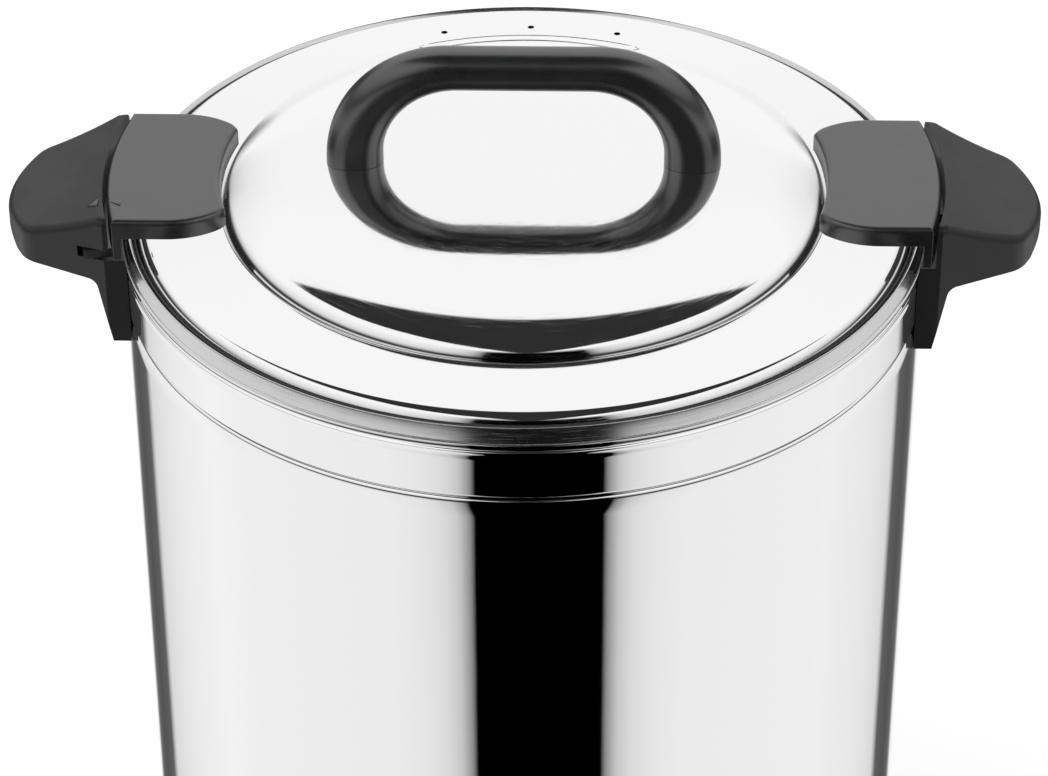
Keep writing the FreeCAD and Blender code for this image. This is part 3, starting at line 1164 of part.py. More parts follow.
def make_base():
    shell = new_body("base_housing")
    sketch = new_sketch(shell, "Base_profile", "XZ_Plane")
    outline(sketch, (
        ("base_radius - base_wall - base_ledge", "base_foot"),
        ("base_radius - 1.5", "base_foot"),
        ("base_radius", "base_foot + 1.5"),
        ("base_radius", "base_top - 2", "radius", "2", 1),
        ("base_radius - 2", "base_top"),
        ("casing_radius + grip_fit", "base_top"),
        ("casing_radius + grip_fit", "base_shelf"),
        ("support_outer - 4", "base_shelf"),
        ("support_outer - 4", "base_shelf - base_wall"),
        ("base_radius - base_wall", "base_shelf - base_wall"),
        ("base_radius - base_wall", "base_foot + base_wall"),
        ("base_radius - base_wall - base_ledge", "base_foot + base_wall"),
    ))
    turned(shell, "Base_turn", sketch)
    sketch = new_sketch(shell, "Panel_plan", "XY_Plane", "panel_foot")
    outline(sketch, (
        ("- panel_half", "- panel_reach + 6", "radius", "6", 1),
        ("- panel_half + 6", "- panel_reach"),
        ("panel_half - 6", "- panel_reach", "radius", "6", 1),
        ("panel_half", "- panel_reach + 6"),
        ("panel_half", "- base_radius + 28"),
        ("- panel_half", "- base_radius + 28"),
    ))
    pad(shell, "Panel_block", sketch, "panel_top - panel_foot")
    sketch = new_sketch(shell, "Panel_room", "XY_Plane", "panel_foot + base_wall")
    outline(sketch, box_corners("- panel_half + base_wall", "panel_half - base_wall",
                                "- panel_reach + base_wall", "- base_radius + 40"))
    pocket(shell, "Panel_hollow", sketch, "panel_top - panel_foot - 2 * base_wall", reverse=True)
    front_hole(shell, "Shaft_hole", "- knob_x", "control_height", "shaft_radius + 0.6")
    front_hole(shell, "Lamp_hole_low", "0", "control_height - lamp_step / 2", "lamp_radius - 0.9")
    front_hole(shell, "Lamp_hole_high", "0", "control_height + lamp_step / 2", "lamp_radius - 0.9")
    front_slot(shell, "Switch_hole")
    sketch = new_sketch(shell, "Gland_hole_plan", "XZ_Plane")
    circles(sketch, (("0", "gland_height"),), "gland_radius")
    pocket(shell, "Gland_hole", sketch, "2 * base_radius")
    sketch = new_sketch(shell, "Cover_pilot_plan", "XY_Plane", "base_foot")
    circles(sketch, ring_spots(6, "cover_screw_circle"), "screw_radius")
    pocket(shell, "Cover_pilots", sketch, "base_wall + 1", reverse=True)


def ring_spots(count, radius):
    """Places round the urn's axis, half a step away from the front."""
    turns = [2 * math.pi * (index + 0.5) / count for index in range(count)]
    return [("%.9f * %s" % (math.sin(turn), radius), "%.9f * %s" % (math.cos(turn), radius))
            for turn in turns]


def front_hole(body, name, x, z, radius):
    """A round hole through the front of a body."""
    sketch = new_sketch(body, name + "_plan", "XZ_Plane")
    circles(sketch, ((x, z),), radius)
    pocket(body, name, sketch, "2 * panel_reach", reverse=True)


def front_slot(body, name):
    """The switch's rectangular hole through the front of a body."""
    sketch = new_sketch(body, name + "_plan", "XZ_Plane")
    outline(sketch, box_corners("rocker_x - rocker_half_width - 1", "rocker_x + rocker_half_width + 1",
                                "control_height - rocker_half_height - 1",
                                "control_height + rocker_half_height + 1"))
    pocket(body, name, sketch, "2 * panel_reach", reverse=True)


def make_cover():
    """The bottom cover with its feet, its screws and the tank's support ring above it."""
    body = new_body("bottom_cover")
    sketch = new_sketch(body, "Cover_plan", "XY_Plane", "cover_foot")
    circles(sketch, (("0", "0"),), "cover_radius")
    pad(body, "Cover_disc", sketch, "cover_wall")
    sketch = new_sketch(body, "Cover_holes_plan", "XY_Plane", "cover_foot")
    circles(sketch, ring_spots(6, "cover_screw_circle"), "screw_radius + screw_play")
    circles(sketch, ring_spots(4, "foot_circle"), "screw_radius + screw_play")
    circles(sketch, (("cutout_x", "cutout_y"),), "5")
    pocket(body, "Cover_holes", sketch, "2 * cover_wall", reverse=True)
    feet, screws, cover_screws = [], [], []
    for index, (x, y) in enumerate(ring_spots(4, "foot_circle")):
        tread = cone("Foot_tread_%d" % index, "foot_radius - 1.5", "foot_radius", "cover_foot",
                     (x, y, "0"))
        feet.append(cut("Foot_%d" % index, tread, [
            cylinder("Foot_bore_%d" % index, "screw_radius", "cover_foot + 2", (x, y, "- 1")),
            cylinder("Foot_recess_%d" % index, "screw_head + 0.6", "cover_foot - 3", (x, y, "- 1")),
        ]))
        screws.append(screw("Foot_screw_%d" % index, (x, y, "cover_foot - 4"), "9", UPWARD))
    for index, (x, y) in enumerate(ring_spots(6, "cover_screw_circle")):
        cover_screws.append(screw("Cover_screw_%d" % index, (x, y, "cover_foot"),
                                  "cover_wall + base_wall + 0.8", UPWARD))
    group("rubber_feet", feet)
    group("foot_screws", screws)
    group("bottom_cover_screws", cover_screws)
    turned_piece("support_ring", (
        ("support_inner", "tank_floor - support_wall"),
        ("support_outer - support_wall", "tank_floor - support_wall"),
        ("support_outer - support_wall", "base_shelf"),
        ("support_outer", "base_shelf"),
        ("support_outer", "tank_floor"),
        ("support_inner", "tank_floor"),
    ))


def make_fascia():
    """The steel front plate with its holes, and the marks ring round the knob."""
    body = new_body("control_fascia")
    sketch = new_sketch(body, "Fascia_plan", "XZ_Plane", "panel_reach")
    outline(sketch, box_corners("- panel_half + fascia_margin + 4", "panel_half - fascia_margin - 4",
                                "panel_foot + fascia_margin", "panel_top - fascia_margin"))
    pad(body, "Fascia_plate", sketch, "fascia_wall")
    front_hole(body, "Fascia_shaft_hole", "- knob_x", "control_height", "shaft_radius + 0.6")
    front_hole(body, "Fascia_lamp_low", "0", "control_height - lamp_step / 2", "lamp_radius")
    front_hole(body, "Fascia_lamp_high", "0", "control_height + lamp_step / 2", "lamp_radius")
    front_slot(body, "Fascia_switch_hole")


def make_thermostat():
    """The thermostat behind the panel, its shaft, and the knob on the shaft."""
    inner = "panel_reach - base_wall"
    boss = cylinder("Thermostat_boss", "6.5", "2.2",
                    ("- knob_x", "- " + inner.replace(" - ", " + ") + " + 2.2", "control_height"), "Y")
    case = block("Thermostat_case",
                 ("- knob_x - thermostat_half", "- knob_x + thermostat_half"),
                 (negative(inner) + " + 2", negative(inner) + " + 2 + thermostat_depth"),
                 ("control_height - thermostat_half", "control_height + thermostat_half"))
    bore = cylinder("Thermostat_bore", "shaft_radius + stem_fit", "14",
                    ("- knob_x", negative(inner) + " + 12", "control_height"), "Y")
    keep(cut("Thermostat", fused("Thermostat_solid", [boss, case]), [bore]), "thermostat_body")
    group("thermostat_shaft", [cylinder(
        "Shaft_rod", "shaft_radius", "base_wall + fascia_wall + 11 + 12",
        ("- knob_x", negative(inner) + " + 11", "control_height"), "Y")])
    face = "- fascia_face - knob_gap"
    skirt = cylinder("Knob_skirt", "knob_radius", "4", ("- knob_x", face, "control_height"), "Y")
    barrel = cylinder("Knob_barrel", "knob_radius - 3", "knob_depth - 4",
                      ("- knob_x", face + " - 4", "control_height"), "Y")
    ridge = block("Knob_ridge", ("- knob_x - 3.5", "- knob_x + 3.5"),
                  (face + " - knob_depth - 3", face + " - knob_depth + 1"),
                  ("control_height - knob_radius + 5", "control_height + knob_radius - 5"))
    keep(cut("Knob", fused("Knob_solid", [skirt, barrel, ridge]), [
        cylinder("Knob_bore", "shaft_radius", "12.3", ("- knob_x", face + " + 0.3", "control_height"),
                 "Y")]), "thermostat_knob")


def make_switch():
    """The switch's case with its bezel, and the rocker that tilts in it."""
    left, right = "rocker_x - rocker_half_width", "rocker_x + rocker_half_width"
    low, high = "control_height - rocker_half_height", "control_height + rocker_half_height"
    front = "- fascia_face - bezel_depth"
    solid = fused("Switch_solid", [
        block("Switch_bezel", (left + " - bezel_margin", right + " + bezel_margin"),
              (front, "- fascia_face"), (low + " - bezel_margin", high + " + bezel_margin")),
        block("Switch_case", (left + " - 0.9", right + " + 0.9"),
              ("- fascia_face - 1", "- fascia_face + switch_depth"), (low + " - 0.9", high + " + 0.9")),
    ])
    room = block("Switch_room", (left + " - 0.3", right + " + 0.3"),
                 (front + " - 1", front + " + 13"), (low + " - 0.4", high + " + 0.4"))
    posts = [cylinder("Switch_post_" + name, "1.5", "1.5", (x, "- rocker_pivot", "control_height"), "X")
             for name, x in (("left", left + " - 1"), ("right", right + " - 0.5"))]
    case = fused("Switch_with_posts", [cut("Switch_shell", solid, [room])] + posts)
    keep(case, "rocker_switch_body")
    drum = cylinder("Rocker_drum", "rocker_half_height", "2 * rocker_half_width",
                    (left, "- rocker_pivot", "control_height"), "X")
    front_part = block("Rocker_front", (left, right), ("- rocker_pivot - 4.2", "- rocker_pivot + 3"),
                       (low + " - 1", high + " + 1"))
    key = doc.addObject("Part::MultiCommon", "Rocker_blank")
    key.Shapes = [drum, front_part]
    hollow = cylinder("Rocker_dish", "40", "4 * rocker_half_width",
                      (left + " - rocker_half_width", "- rocker_pivot - 3 - 40", "control_height"), "X")
    holes = [cylinder("Rocker_hole_" + name, "1.56", "1.6", (x, "- rocker_pivot", "control_height"), "X")
             for name, x in (("left", left + " - 0.6"), ("right", right + " - 1"))]
    button = cut("Rocker_level", key, [hollow] + holes)
    tilted = doc.addObject("Part::Compound", "Group_rocker_button")
    tilted.Links = [button]
    tilted.Label = "rocker_button"
    tilt = "rocker_tilt / 2"
    tilted.Placement.Rotation = FreeCAD.Rotation(FreeCAD.Vector(1, 0, 0), value(tilt))
    bind(tilted, ".Placement.Rotation.Angle", tilt)
    cosine, sine = math.cos(math.radians(value(tilt))), math.sin(math.radians(value(tilt)))
    bind(tilted, ".Placement.Base.y", "axis_setback - rocker_pivot + %.9f * rocker_pivot + "
         "%.9f * control_height" % (cosine, sine))
    bind(tilted, ".Placement.Base.z", "control_height - %.9f * control_height + "
         "%.9f * rocker_pivot" % (cosine, sine))
    pieces.append(tilted)


def make_lamps():
    """Two pilot lamps: a lens in front of the fascia and a holder behind the panel."""
    for label, sign in (("lamp_power", "+"), ("lamp_ready", "-")):
        height = "control_height %s lamp_step / 2" % sign
        keep(fused(label + "_lens_solid", [
            cylinder(label + "_rim", "lamp_radius + 1.2", "1.2", ("0", "- fascia_face", height), "Y"),
            cone_front(label + "_dome", "lamp_radius + 0.4", "lamp_radius - 1", "2.4",
                       ("0", "- fascia_face - 1.2", height)),
            cylinder(label + "_neck", "lamp_radius - 0.9", "lamp_depth",
                     ("0", "- fascia_face + lamp_depth", height), "Y"),
        ]), label)


def cone_front(name, foot_radius, top_radius, height, place):
    """A cone from a place along -Y."""
    thing = cone(name, foot_radius, top_radius, height, place)
    thing.Placement.Rotation = TO_FRONT
    return thing


# Heating: a ring element brazed to an aluminium plate under the tank, a cut-out and its button.

def make_heating():
    ring_height = "plate_foot - element_radius + 0.2"
    group("heater_plate", [cylinder("Plate_disc", "plate_radius", "plate_thick",
                                    ("0", "0", "plate_foot"))])
    ring = doc.addObject("Part::Torus", "Element_ring")
    bind(ring, "Radius1", "element_circle")
    bind(ring, "Radius2", "element_radius")
    ring.Angle3 = 300
    bind(ring, ".Placement.Base.z", ring_height)
    parts = [ring]
    for index, turn in enumerate((0, 300)):
        x = "%.9f * element_circle" % math.cos(math.radians(turn))
        y = "%.9f * element_circle" % math.sin(math.radians(turn))
        ball = doc.addObject("Part::Sphere", "Element_bend_%d" % index)
        bind(ball, "Radius", "element_radius")
        for letter, text in zip("xyz", (x, y, ring_height)):
            bind(ball, ".Placement.Base." + letter, text)
        parts.append(ball)
        foot = ring_height + " - element_tail"
        parts.append(cylinder("Element_tail_%d" % index, "element_radius", "element_tail",
                              (x, y, foot)))
        parts.append(cylinder("Element_pin_%d" % index, "1.6", "8", (x, y, foot + " - 7.5")))
    keep(fused("Element", parts), "heater_element")
    spot = ("cutout_x", "cutout_y")
    keep(cut("Cutout", fused("Cutout_solid", [
        cylinder("Cutout_case", "9", "16", spot + ("cover_top",)),
        cylinder("Cutout_neck", "5", "cover_wall + 1", spot + ("cover_foot",)),
    ]), [cylinder("Cutout_bore", "button_radius + stem_fit", "11", spot + ("cover_foot - 1",))]),
         "thermal_cutout")
    group("reset_button", [cylinder("Button_rod", "button_radius", "button_reach + 8",
                                    spot + ("cover_foot - button_reach",))])
    ball = doc.addObject("Part::Sphere", "Sensor_bend")
    bind(ball, "Radius", "1.2")
    for letter, text in zip("xyz", spot + ("plate_foot - 3",)):
        bind(ball, ".Placement.Base." + letter, text)
    bulb = cylinder("Sensor_bulb_rod", "3", "44", ("cutout_x", "cutout_y - 8", "plate_foot - 3"), "Y")
    link = cylinder("Sensor_link", "1.2", "9", ("cutout_x", "cutout_y", "plate_foot - 3"), "Y")
    keep(fused("Sensor", [bulb, link, ball, cylinder(
        "Sensor_tube", "1.2", "plate_foot - 3 - cover_top - 16", spot + ("cover_top + 16",))]),
        "sensor_bulb")
    box = block("Terminal_box", ("- block_half", "block_half"),
                ("plate_radius - 6", "plate_radius + 12"),
                ("cover_top", "cover_top + 18"))
    wells = [cylinder("Terminal_well_%d" % index, "3", "12", ("%d" % x, "plate_radius + 3",
                                                           "cover_top + 9"))
             for index, x in enumerate((-15, -5, 5, 15))]
    keep(cut("Terminals", box, wells), "terminal_block")
    back = "base_radius + gland_reach"
    keep(cut("Gland", fused("Gland_solid", [
        cylinder("Gland_barrel", "gland_radius", "gland_reach + 18", ("0", back, "gland_height"), "Y"),
        hexagon("Gland_collar", "gland_radius + 2.4", "5", ("0", "base_radius + 5", "gland_height"), "Y"),
    ]), [cylinder("Gland_hole_bore", "gland_bore", "60", ("0", back + " + 1", "gland_height"), "Y")]),
         "cable_gland")
    keep(cut("Gland_nut", hexagon("Gland_nut_blank", "gland_radius + 2.4", "4",
                                  ("0", "base_radius - base_wall - 0.6", "gland_height"), "Y"), [
        cylinder("Gland_nut_thread", "gland_radius", "8", ("0", "base_radius", "gland_height"), "Y")
    ]), "gland_nut")


make_casing()
make_tank()
make_lid()
make_seal()
make_arch()
make_wing("lid_wing_right", 0)
make_wing("lid_wing_left", 180)
make_side_handle("side_handle_right", 0)
make_side_handle("side_handle_left", 180)
make_backing_plates()
make_lid_screws()
make_grip_screws()
make_tap_body()
make_tap_fixings()
make_bonnet()
make_valve()
make_lever()
make_gauge()
make_base()
make_cover()
make_fascia()
make_thermostat()
make_switch()
make_lamps()
make_heating()
doc.recompute()

for thing in doc.Objects:
    if "Invalid" in thing.State or "Error" in thing.State:
        raise RuntimeError("%s is in the state %s" % (thing.Label, thing.State))

os.makedirs("parts", exist_ok=True)
for piece in pieces:
    shape = piece.Shape
    if shape.isNull() or not shape.isValid():
        raise RuntimeError(piece.Label + " has no sound shape")
    shape.exportStep(os.path.join("parts", piece.Label + ".step"))
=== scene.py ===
"""A polished steel hot water urn with a domed twist-lock lid, black grips, a lever tap and a heated base."""
import json
import math

import bmesh
import bpy
from bpy.props import FloatProperty, FloatVectorProperty, IntProperty, PointerProperty
from bpy.types import Operator, Panel, PropertyGroup
from mathutils import Matrix, Vector


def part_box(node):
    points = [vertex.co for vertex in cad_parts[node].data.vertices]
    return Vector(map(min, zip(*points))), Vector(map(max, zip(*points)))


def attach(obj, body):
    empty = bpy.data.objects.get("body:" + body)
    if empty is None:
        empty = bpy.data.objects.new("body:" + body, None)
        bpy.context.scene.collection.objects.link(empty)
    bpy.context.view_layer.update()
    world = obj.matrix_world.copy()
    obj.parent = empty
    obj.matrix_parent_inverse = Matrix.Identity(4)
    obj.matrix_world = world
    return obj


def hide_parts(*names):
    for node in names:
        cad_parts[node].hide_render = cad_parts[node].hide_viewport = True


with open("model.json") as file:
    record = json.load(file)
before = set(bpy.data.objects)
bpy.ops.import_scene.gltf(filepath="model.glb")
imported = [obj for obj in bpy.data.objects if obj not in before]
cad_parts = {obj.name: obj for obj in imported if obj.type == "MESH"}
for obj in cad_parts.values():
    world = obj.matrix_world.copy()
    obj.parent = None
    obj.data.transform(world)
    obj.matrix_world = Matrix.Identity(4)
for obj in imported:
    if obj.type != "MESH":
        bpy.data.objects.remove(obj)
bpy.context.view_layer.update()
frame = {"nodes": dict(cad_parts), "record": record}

bl_info = {
    "name": "Hot Water Urn",
    "version": (1, 0, 0),
    "blender": (4, 5, 0),
    "location": "3D View > Sidebar > Urn",
    "description": "Builds the urn's steel shells, black grips, tap and controls round its frame",
    "category": "Add Mesh",
}

MM = 0.001
LID_LOW, LID_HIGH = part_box("lid_shell")
AXIS = Vector(((LID_LOW.x + LID_HIGH.x) / 2, (LID_LOW.y + LID_HIGH.y) / 2, 0))
DOME_RISE = 15
LID_PLANE = LID_HIGH.z - DOME_RISE * MM
CASING_RADIUS = (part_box("outer_casing")[1].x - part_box("outer_casing")[0].x) / 2 / MM
SHARP = 35
ON_AXIS = 1e-9
FORWARD = (0, -1, 0)
PAINT = 0.08


def linear(hex_colour, alpha=1.0):
    """The linear colour of an sRGB hex value."""
    channels = [int(hex_colour[index:index + 2], 16) / 255 for index in (1, 3, 5)]
    return [c / 12.92 if c <= 0.04045 else ((c + 0.055) / 1.055) ** 2.4 for c in channels] + [alpha]


def add_node(tree, kind, sockets=None, **settings):
    """Add a node, set its settings, and set or link its sockets by name or number."""
    node = tree.nodes.new(kind)
    for name, setting in settings.items():
        setattr(node, name, setting)
    for name, source in (sockets or {}).items():
        if isinstance(source, bpy.types.NodeSocket):
            tree.links.new(source, node.inputs[name])
        else:
            node.inputs[name].default_value = source
    return node


def new_material(name):
    """An empty material with its tree, its surface shader and its object coordinates."""
    material = bpy.data.materials.new(name)
    material.use_nodes = True
    tree = material.node_tree
    tree.nodes.clear()
    shader = add_node(tree, "ShaderNodeBsdfPrincipled")
    add_node(tree, "ShaderNodeOutputMaterial", {"Surface": shader.outputs["BSDF"]})
    coordinates = add_node(tree, "ShaderNodeTexCoord").outputs["Object"]
    return material, tree, shader, coordinates


def polished_steel(name, colour, roughness, veil, waviness=0.2):
    """Stainless sheet spun and mopped to a mirror: a few round scratches veil dark mirror images."""
    material, tree, shader, coordinates = new_material(name)
    shader.inputs["Base Color"].default_value = colour
    shader.inputs["Metallic"].default_value = 1.0
    centred = add_node(tree, "ShaderNodeMapping", {
        "Vector": coordinates, "Location": (-AXIS.x, -AXIS.y, 0)})
    parts = add_node(tree, "ShaderNodeSeparateXYZ", {0: centred.outputs[0]})
    angle = add_node(tree, "ShaderNodeMath", {0: parts.outputs["Y"], 1: parts.outputs["X"]},
                     operation="ARCTAN2")
    flat = add_node(tree, "ShaderNodeCombineXYZ", {"X": parts.outputs["X"], "Y": parts.outputs["Y"]})
    radius = add_node(tree, "ShaderNodeVectorMath", {0: flat.outputs[0]}, operation="LENGTH")
    # Grit leaves marks under 0.05 mm apart; drawn 0.3 mm apart and some 20 mm long, they just show.
    polar = add_node(tree, "ShaderNodeCombineXYZ", {
        "X": radius.outputs["Value"], "Y": angle.outputs[0], "Z": parts.outputs["Z"]})
    across, along = 1 / (0.3 * MM), CASING_RADIUS / 20
    grid = add_node(tree, "ShaderNodeMapping", {
        "Vector": polar.outputs[0], "Scale": (across, along, across)})
    lines = add_node(tree, "ShaderNodeTexNoise", {
        "Vector": grid.outputs[0], "Scale": 1.0, "Detail": 3.0, "Roughness": 0.6})
    cloud = add_node(tree, "ShaderNodeTexNoise", {
        "Vector": coordinates, "Scale": 1 / (30 * MM), "Detail": 2.0})
    spread = add_node(tree, "ShaderNodeMapRange", {
        "Value": lines.outputs["Fac"], "From Min": 0.52, "From Max": 0.72,
        "To Min": roughness, "To Max": roughness + veil})
    tree.links.new(spread.outputs["Result"], shader.inputs["Roughness"])
    bump = add_node(tree, "ShaderNodeBump", {
        "Height": cloud.outputs["Fac"], "Strength": waviness, "Distance": 0.1 * MM})
    tree.links.new(bump.outputs["Normal"], shader.inputs["Normal"])
    return material


def satin_steel(name, colour, roughness, grain):
    """Drawn or brushed metal: grain lines along X that widen the highlight across them."""
    material, tree, shader, coordinates = new_material(name)
    shader.inputs["Metallic"].default_value = 1.0
    stretch = add_node(tree, "ShaderNodeMapping", {"Vector": coordinates, "Scale": (0.02, 1.0, 1.0)})
    lines = add_node(tree, "ShaderNodeTexNoise", {
        "Vector": stretch.outputs["Vector"], "Scale": 1 / grain, "Detail": 4.0, "Roughness": 0.7})
    tint = add_node(tree, "ShaderNodeMix", {
        "Factor": lines.outputs["Fac"], "A": colour, "B": [c * 0.86 for c in colour[:3]] + [1]},
        data_type="RGBA")
    tree.links.new(tint.outputs["Result"], shader.inputs["Base Color"])
    spread = add_node(tree, "ShaderNodeMapRange", {
        "Value": lines.outputs["Fac"], "To Min": roughness - 0.06, "To Max": roughness + 0.08})
    tree.links.new(spread.outputs["Result"], shader.inputs["Roughness"])
    edge = add_node(tree, "ShaderNodeBevel", {"Radius": 0.25 * MM}, samples=4)
    bump = add_node(tree, "ShaderNodeBump", {
        "Height": lines.outputs["Fac"], "Strength": 0.12, "Distance": 0.05 * MM,
        "Normal": edge.outputs[0]})
    tree.links.new(bump.outputs["Normal"], shader.inputs["Normal"])
    return material


def moulded_plastic(name, colour, roughness, grain, depth, gloss=0.5, edge=0.4, ior=1.55):
    """Injection-moulded plastic: an eroded tool leaves a fine even grain, handling leaves dull patches."""
    material, tree, shader, coordinates = new_material(name)
    shader.inputs["IOR"].default_value = ior
    shader.inputs["Specular IOR Level"].default_value = gloss
    patches = add_node(tree, "ShaderNodeTexNoise", {
        "Vector": coordinates, "Scale": 1 / (14 * MM), "Detail": 4.0, "Roughness": 0.6})
    tint = add_node(tree, "ShaderNodeMix", {
        "Factor": patches.outputs["Fac"], "A": colour,
        "B": [min(1, c * 1.3 + 0.001) for c in colour[:3]] + [1]}, data_type="RGBA")
    tree.links.new(tint.outputs["Result"], shader.inputs["Base Color"])
    spread = add_node(tree, "ShaderNodeMapRange", {
        "Value": patches.outputs["Fac"], "From Min": 0.3, "From Max": 0.7,
        "To Min": roughness - 0.04, "To Max": roughness + 0.04})
    tree.links.new(spread.outputs["Result"], shader.inputs["Roughness"])
    pores = add_node(tree, "ShaderNodeTexNoise", {
        "Vector": coordinates, "Scale": 1 / grain, "Detail": 2.0, "Roughness": 0.5})
    rounding = add_node(tree, "ShaderNodeBevel", {"Radius": edge * MM}, samples=4)
    bump = add_node(tree, "ShaderNodeBump", {
        "Height": pores.outputs["Fac"], "Strength": depth, "Distance": 0.12 * MM,
        "Normal": rounding.outputs[0]})
    tree.links.new(bump.outputs["Normal"], shader.inputs["Normal"])
    return material


def clear_material(name, colour, roughness, transmission, mottle):
    """Glass, lens plastic or silicone that lets light through, with the faint ripple of its surface."""
    material, tree, shader, coordinates = new_material(name)
    ripple = add_node(tree, "ShaderNodeTexNoise", {
        "Vector": coordinates, "Scale": 1 / (6 * MM), "Detail": 1.0})
    tint = add_node(tree, "ShaderNodeMix", {
        "Factor": ripple.outputs["Fac"], "A": colour, "B": [c * mottle for c in colour[:3]] + [1]},
        data_type="RGBA")
    tree.links.new(tint.outputs["Result"], shader.inputs["Base Color"])
    shader.inputs["Roughness"].default_value = roughness
    shader.inputs["Transmission Weight"].default_value = transmission
    shader.inputs["IOR"].default_value = 1.47
    bump = add_node(tree, "ShaderNodeBump", {
        "Height": ripple.outputs["Fac"], "Strength": 0.05, "Distance": 0.1 * MM})
    tree.links.new(bump.outputs["Normal"], shader.inputs["Normal"])
    return material


MATERIALS = {}


def make_materials(look):
    """Every finish on the urn, by the record's slot."""
    steel, black = list(look.steel_colour), list(look.plastic_colour)
    MATERIALS.update({
        # A mirror polish gives the eye sharp black and white bands; the dome's is a little hazier.
        "lid_steel": polished_steel("polished stainless lid", steel, 0.05, 0.14),
        "casing_steel": polished_steel("polished stainless casing", steel, 0.03, 0.02),
        # Painted shade: the rim's steel is dimmed to 0.72 of the lid's steel so the gap between lid and rim
        # renders dark.
        "tank_steel": polished_steel("satin stainless rim dimmed for painted gap shade", [c * 0.72 for c in steel[:3]] + [1],
                                     0.16, 0.20),
        "screw_steel": satin_steel("turned stainless screws", linear("#C9C9CC"), 0.30, 0.3 * MM),
        "zinc_steel": satin_steel("zinc-plated sheet", linear("#B9BDC2"), 0.42, 0.8 * MM),
        "fascia_steel": satin_steel("brushed stainless fascia", linear("#C4C5C7"), 0.33, 0.25 * MM),
        "element_steel": satin_steel("heat-tinted sheath", linear("#77706A"), 0.45, 0.6 * MM),
        "plate_aluminium": satin_steel("cast aluminium", linear("#BFC1C4"), 0.50, 1.2 * MM),
        "tap_chrome": polished_steel("chrome-plated brass", linear("#E9EAEC"), 0.06, 0.10),
        "tap_brass": satin_steel("turned brass", linear("#C9A45C"), 0.28, 0.3 * MM),
        # Grips in glass-filled polyamide: near black, with a soft sheen on what faces the light.
        "black_plastic": moulded_plastic("black moulded polyamide", black, 0.30, 0.35 * MM, 0.06,
                                         gloss=0.9, ior=1.68),
        "base_plastic": moulded_plastic("black moulded polypropylene", linear("#1B1C1E"), 0.48,
                                        0.5 * MM, 0.20, 0.6),
        "black_gloss": moulded_plastic("glossy black moulding", linear("#101113"), 0.20, 0.6 * MM,
                                       0.03),
        "control_plastic": moulded_plastic("dark phenolic", linear("#3A3029"), 0.38, 0.5 * MM, 0.10),
        "switch_red": moulded_plastic("red rocker", list(look.switch_colour), 0.25, 0.6 * MM, 0.03),
        "button_red": moulded_plastic("red button", list(look.switch_colour), 0.30, 0.5 * MM, 0.05),
        "terminal_white": moulded_plastic("white polyamide", linear("#DDDCD6"), 0.40, 0.5 * MM, 0.08),
        "foot_rubber": moulded_plastic("black rubber", linear("#141414"), 0.75, 0.5 * MM, 0.25, 0.3),
        "silicone": moulded_plastic("grey silicone rubber", linear("#2B2B2C"), 0.55, 0.5 * MM, 0.05,
                                    gloss=0.4),
        # The grips on the casing carry a coarser tool grain than the wings, and look duller.
        "grip_plastic": moulded_plastic("black grained polyamide", black, 0.42, 0.5 * MM, 0.12,
                                        gloss=0.5, ior=1.5),
        "gauge_glass": clear_material("gauge glass", linear("#FFFFFF"), 0.02, 1.0, 0.98),
        "lens_red": clear_material("red lens", linear("#C2231A"), 0.12, 0.6, 0.85),
        "lens_green": clear_material("green lens", linear("#1E9A3E"), 0.12, 0.6, 0.85),
    })


def dress_frame():
    """Give every piece of the frame the finish of its slot."""
    for entry in frame["record"]["subparts"]:
        mesh = frame["nodes"][entry["node"]].data
        mesh.materials.clear()
        mesh.materials.append(MATERIALS[entry["material_slot"]])
    for name in ("side_handle_left", "side_handle_right"):
        frame["nodes"][name].data.materials[0] = MATERIALS["grip_plastic"]
    # The steel round the wings and over the gauge mirrors the white studio, not their undersides.
    for name in ("lid_wing_left", "lid_wing_right", "lid_wing_screws", "gauge_top_cap",
                 "gauge_cap_screw", "gauge_tube"):
        frame["nodes"][name].visible_glossy = False


def finish_piece(work, name, slot, body, nodes=(), sharp=SHARP):
    """Make a bmesh into a piece that rides on a body, with its slot's finish, for the nodes it replaces."""
    mesh = bpy.data.meshes.new(name)
    work.to_mesh(mesh)
    work.free()
    mesh.shade_smooth()
    mesh.set_sharp_from_angle(angle=math.radians(sharp))
    mesh.materials.append(MATERIALS[slot])
    piece = bpy.data.objects.new(name, mesh)
    bpy.context.scene.collection.objects.link(piece)
    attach(piece, body)
    if nodes:
        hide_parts(*nodes)
    return piece


def turned(profile, steps=96, centre=AXIS, axis=(0, 0, 1)):
    """A profile of (radius, height) pairs in metres, spun round an axis through a point.

    A profile that starts on the axis ends there too, and any other one is closed.
    """
    work = bmesh.new()
    corners = [work.verts.new((radius, 0, height)) for radius, height in profile]
    edges = [work.edges.new((corners[index], corners[index + 1])) for index in range(len(corners) - 1)]
    if profile[0][0] > ON_AXIS:
        edges.append(work.edges.new((corners[-1], corners[0])))
    bmesh.ops.spin(work, geom=corners + edges, cent=(0, 0, 0), axis=(0, 0, 1), dvec=(0, 0, 0),
                   angle=2 * math.pi, steps=steps, use_merge=True)
    bmesh.ops.remove_doubles(work, verts=work.verts, dist=1e-7)
    bmesh.ops.recalc_face_normals(work, faces=work.faces)
    turn = Vector(axis).to_track_quat("Z", "Y").to_matrix().to_4x4()
    bmesh.ops.transform(work, matrix=Matrix.Translation(centre) @ turn, verts=work.verts)
    return work


